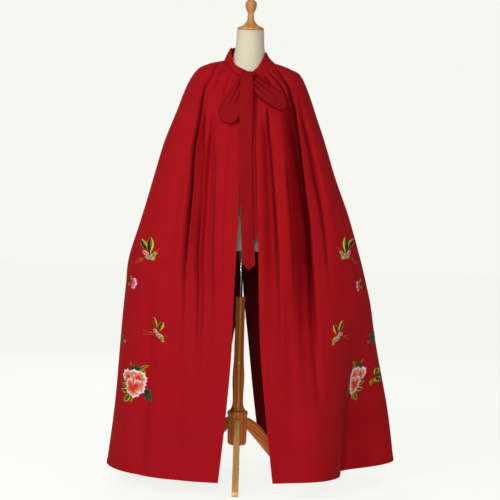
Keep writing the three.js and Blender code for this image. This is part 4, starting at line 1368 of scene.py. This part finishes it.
class CAPE_OT_stitching(bpy.types.Operator):
    """Sew the hem, the front edges and the vent with a line of small stitches"""

    bl_idname = "cape.stitching"
    bl_label = "Stitching"

    def execute(self, context):
        sizes = context.scene.opera_cape_sizes
        rows = cloth_rows(500)
        inner = rows[(rows > 0.9) & (rows < HEM_TOP)]
        right, left = front_edges(inner)
        aside = FROM_EDGE / front_reach(inner)
        vent_rows = rows[(rows > VENT_STITCHES) & (rows < HEM_TOP)]
        vent_aside = FROM_EDGE / along(SECTIONS["back"], vent_rows)
        low_right, low_left = front_edges(np.array([HEM_TOP]))
        hem_row = np.full(500, HEM_STITCHES)
        turns = [
            (right - aside, inner), (left + aside, inner),
            (vent_angle("left", vent_rows) - vent_aside, vent_rows),
            (-vent_angle("right", vent_rows) + vent_aside, vent_rows),
            (np.linspace(low_left[0] + FROM_FRONTS, math.pi - FROM_BACK, 500), hem_row),
            (np.linspace(-math.pi + FROM_BACK, low_right[0] - FROM_FRONTS, 500), hem_row),
        ]
        grids = []
        for angle, row in turns:
            out = normal_of(cape_point, angle, row)
            grids += stitches(cape_point(angle, row), out, sizes.stitch, sizes.stitch * 1.25)
        flat = [np.zeros(g.shape[:2] + (2,)) for g in grids]
        make_piece("edge_stitching", grids, red_cloth(), uvs=flat)
        return {"FINISHED"}


LIGHTS_AIM = Vector((0, 0, 0.85))
FLOOR_HALF = 40.0  # half the floor's side, in m
PALE = (0.99, 1.0, 0.95, 1)


class CAPE_OT_stage(bpy.types.Operator):
    """Set the pale floor, the soft studio light and the camera"""

    bl_idname = "cape.stage"
    bl_label = "Stage"

    def execute(self, context):
        stage = context.scene.opera_cape_stage
        scene = context.scene
        scene.view_settings.view_transform = "Standard"
        camera = bpy.data.objects.new("camera", bpy.data.cameras.new("camera"))
        scene.collection.objects.link(camera)
        c, s = math.cos(stage.roll), math.sin(stage.roll)
        turn = Matrix(((c, -s, 0), (0, 0, -1), (s, c, 0))).to_4x4()
        place = Vector((AXIS.x + stage.aside, AXIS.y - stage.distance, stage.height))
        camera.matrix_world = Matrix.Translation(place) @ turn
        camera.data.lens = stage.lens
        camera.data.sensor_width = 36
        camera.data.clip_end = 200
        scene.camera = camera
        world = bpy.data.worlds.new("studio")
        world.use_nodes = True
        sky = world.node_tree.nodes["Background"]
        sky.inputs["Color"].default_value = PALE
        seen = world.node_tree.nodes.new("ShaderNodeLightPath").outputs["Is Camera Ray"]
        lift = maths(world.node_tree, "MULTIPLY", seen, stage.backdrop - stage.sky)
        world.node_tree.links.new(maths(world.node_tree, "ADD", lift, stage.sky), sky.inputs["Strength"])
        scene.world = world
        lights = [
            ("front", (-0.3, -4.0, 1.5), 1.0, stage.front),
            ("key", (-2.4, -2.9, 2.9), 1.3, stage.key),
            ("fill", (2.4, -2.8, 1.8), 2.4, stage.fill),
            ("back", (-0.6, 3.4, 2.4), 2.4, 5 * stage.fill),
            ("side", (3.6, 1.2, 1.8), 2.0, stage.fill),
        ]
        for name, spot, size, power in lights:
            data = bpy.data.lights.new(name, "AREA")
            data.size, data.energy = size, power
            light = bpy.data.objects.new(name, data)
            light.location = spot
            light.rotation_euler = (LIGHTS_AIM - Vector(spot)).to_track_quat("-Z", "Y").to_euler()
            scene.collection.objects.link(light)
        material, tree, shader = new_material("pale_floor")
        set_inputs(shader, {"Roughness": 0.9, "Base Color": (0.15, 0.15, 0.145, 1), "Emission Color": PALE})
        seen = tree.nodes.new("ShaderNodeLightPath").outputs["Is Camera Ray"]
        glow = maths(tree, "MULTIPLY", seen, stage.floor - stage.bounce)
        tree.links.new(maths(tree, "ADD", glow, stage.bounce), shader.inputs["Emission Strength"])
        mesh = bpy.data.meshes.new("floor")
        signs = ((-1, -1), (1, -1), (1, 1), (-1, 1))
        mesh.from_pydata([(FLOOR_HALF * i, FLOOR_HALF * j, 0) for i, j in signs], [], [(0, 1, 2, 3)])
        mesh.materials.append(material)
        floor = bpy.data.objects.new("floor", mesh)
        scene.collection.objects.link(floor)
        return {"FINISHED"}


class CAPE_PT_panel(bpy.types.Panel):
    """Buttons for the pieces of the cape"""

    bl_idname = "CAPE_PT_panel"
    bl_label = "Opera Cape"
    bl_space_type = "VIEW_3D"
    bl_region_type = "UI"
    bl_category = "Opera Cape"

    def draw(self, context):
        for operator in OPERATORS:
            self.layout.operator(operator.bl_idname)


OPERATORS = (
    CAPE_OT_stage, CAPE_OT_form, CAPE_OT_stand, CAPE_OT_collar, CAPE_OT_panels, CAPE_OT_bow,
    CAPE_OT_embroidery, CAPE_OT_stitching,
)
CLASSES = (CapeSizes, CapeColours, StageSettings, *OPERATORS, CAPE_PT_panel)


def register():
    for cls in CLASSES:
        bpy.utils.register_class(cls)
    bpy.types.Scene.opera_cape_sizes = PointerProperty(type=CapeSizes)
    bpy.types.Scene.opera_cape_colours = PointerProperty(type=CapeColours)
    bpy.types.Scene.opera_cape_stage = PointerProperty(type=StageSettings)


def unregister():
    del bpy.types.Scene.opera_cape_sizes
    del bpy.types.Scene.opera_cape_colours
    del bpy.types.Scene.opera_cape_stage
    for cls in reversed(CLASSES):
        bpy.utils.unregister_class(cls)


def main():
    register()
    for operator in OPERATORS:
        area, name = operator.bl_idname.split(".")
        getattr(getattr(bpy.ops, area), name)()


if __name__ == "__main__":
    main()
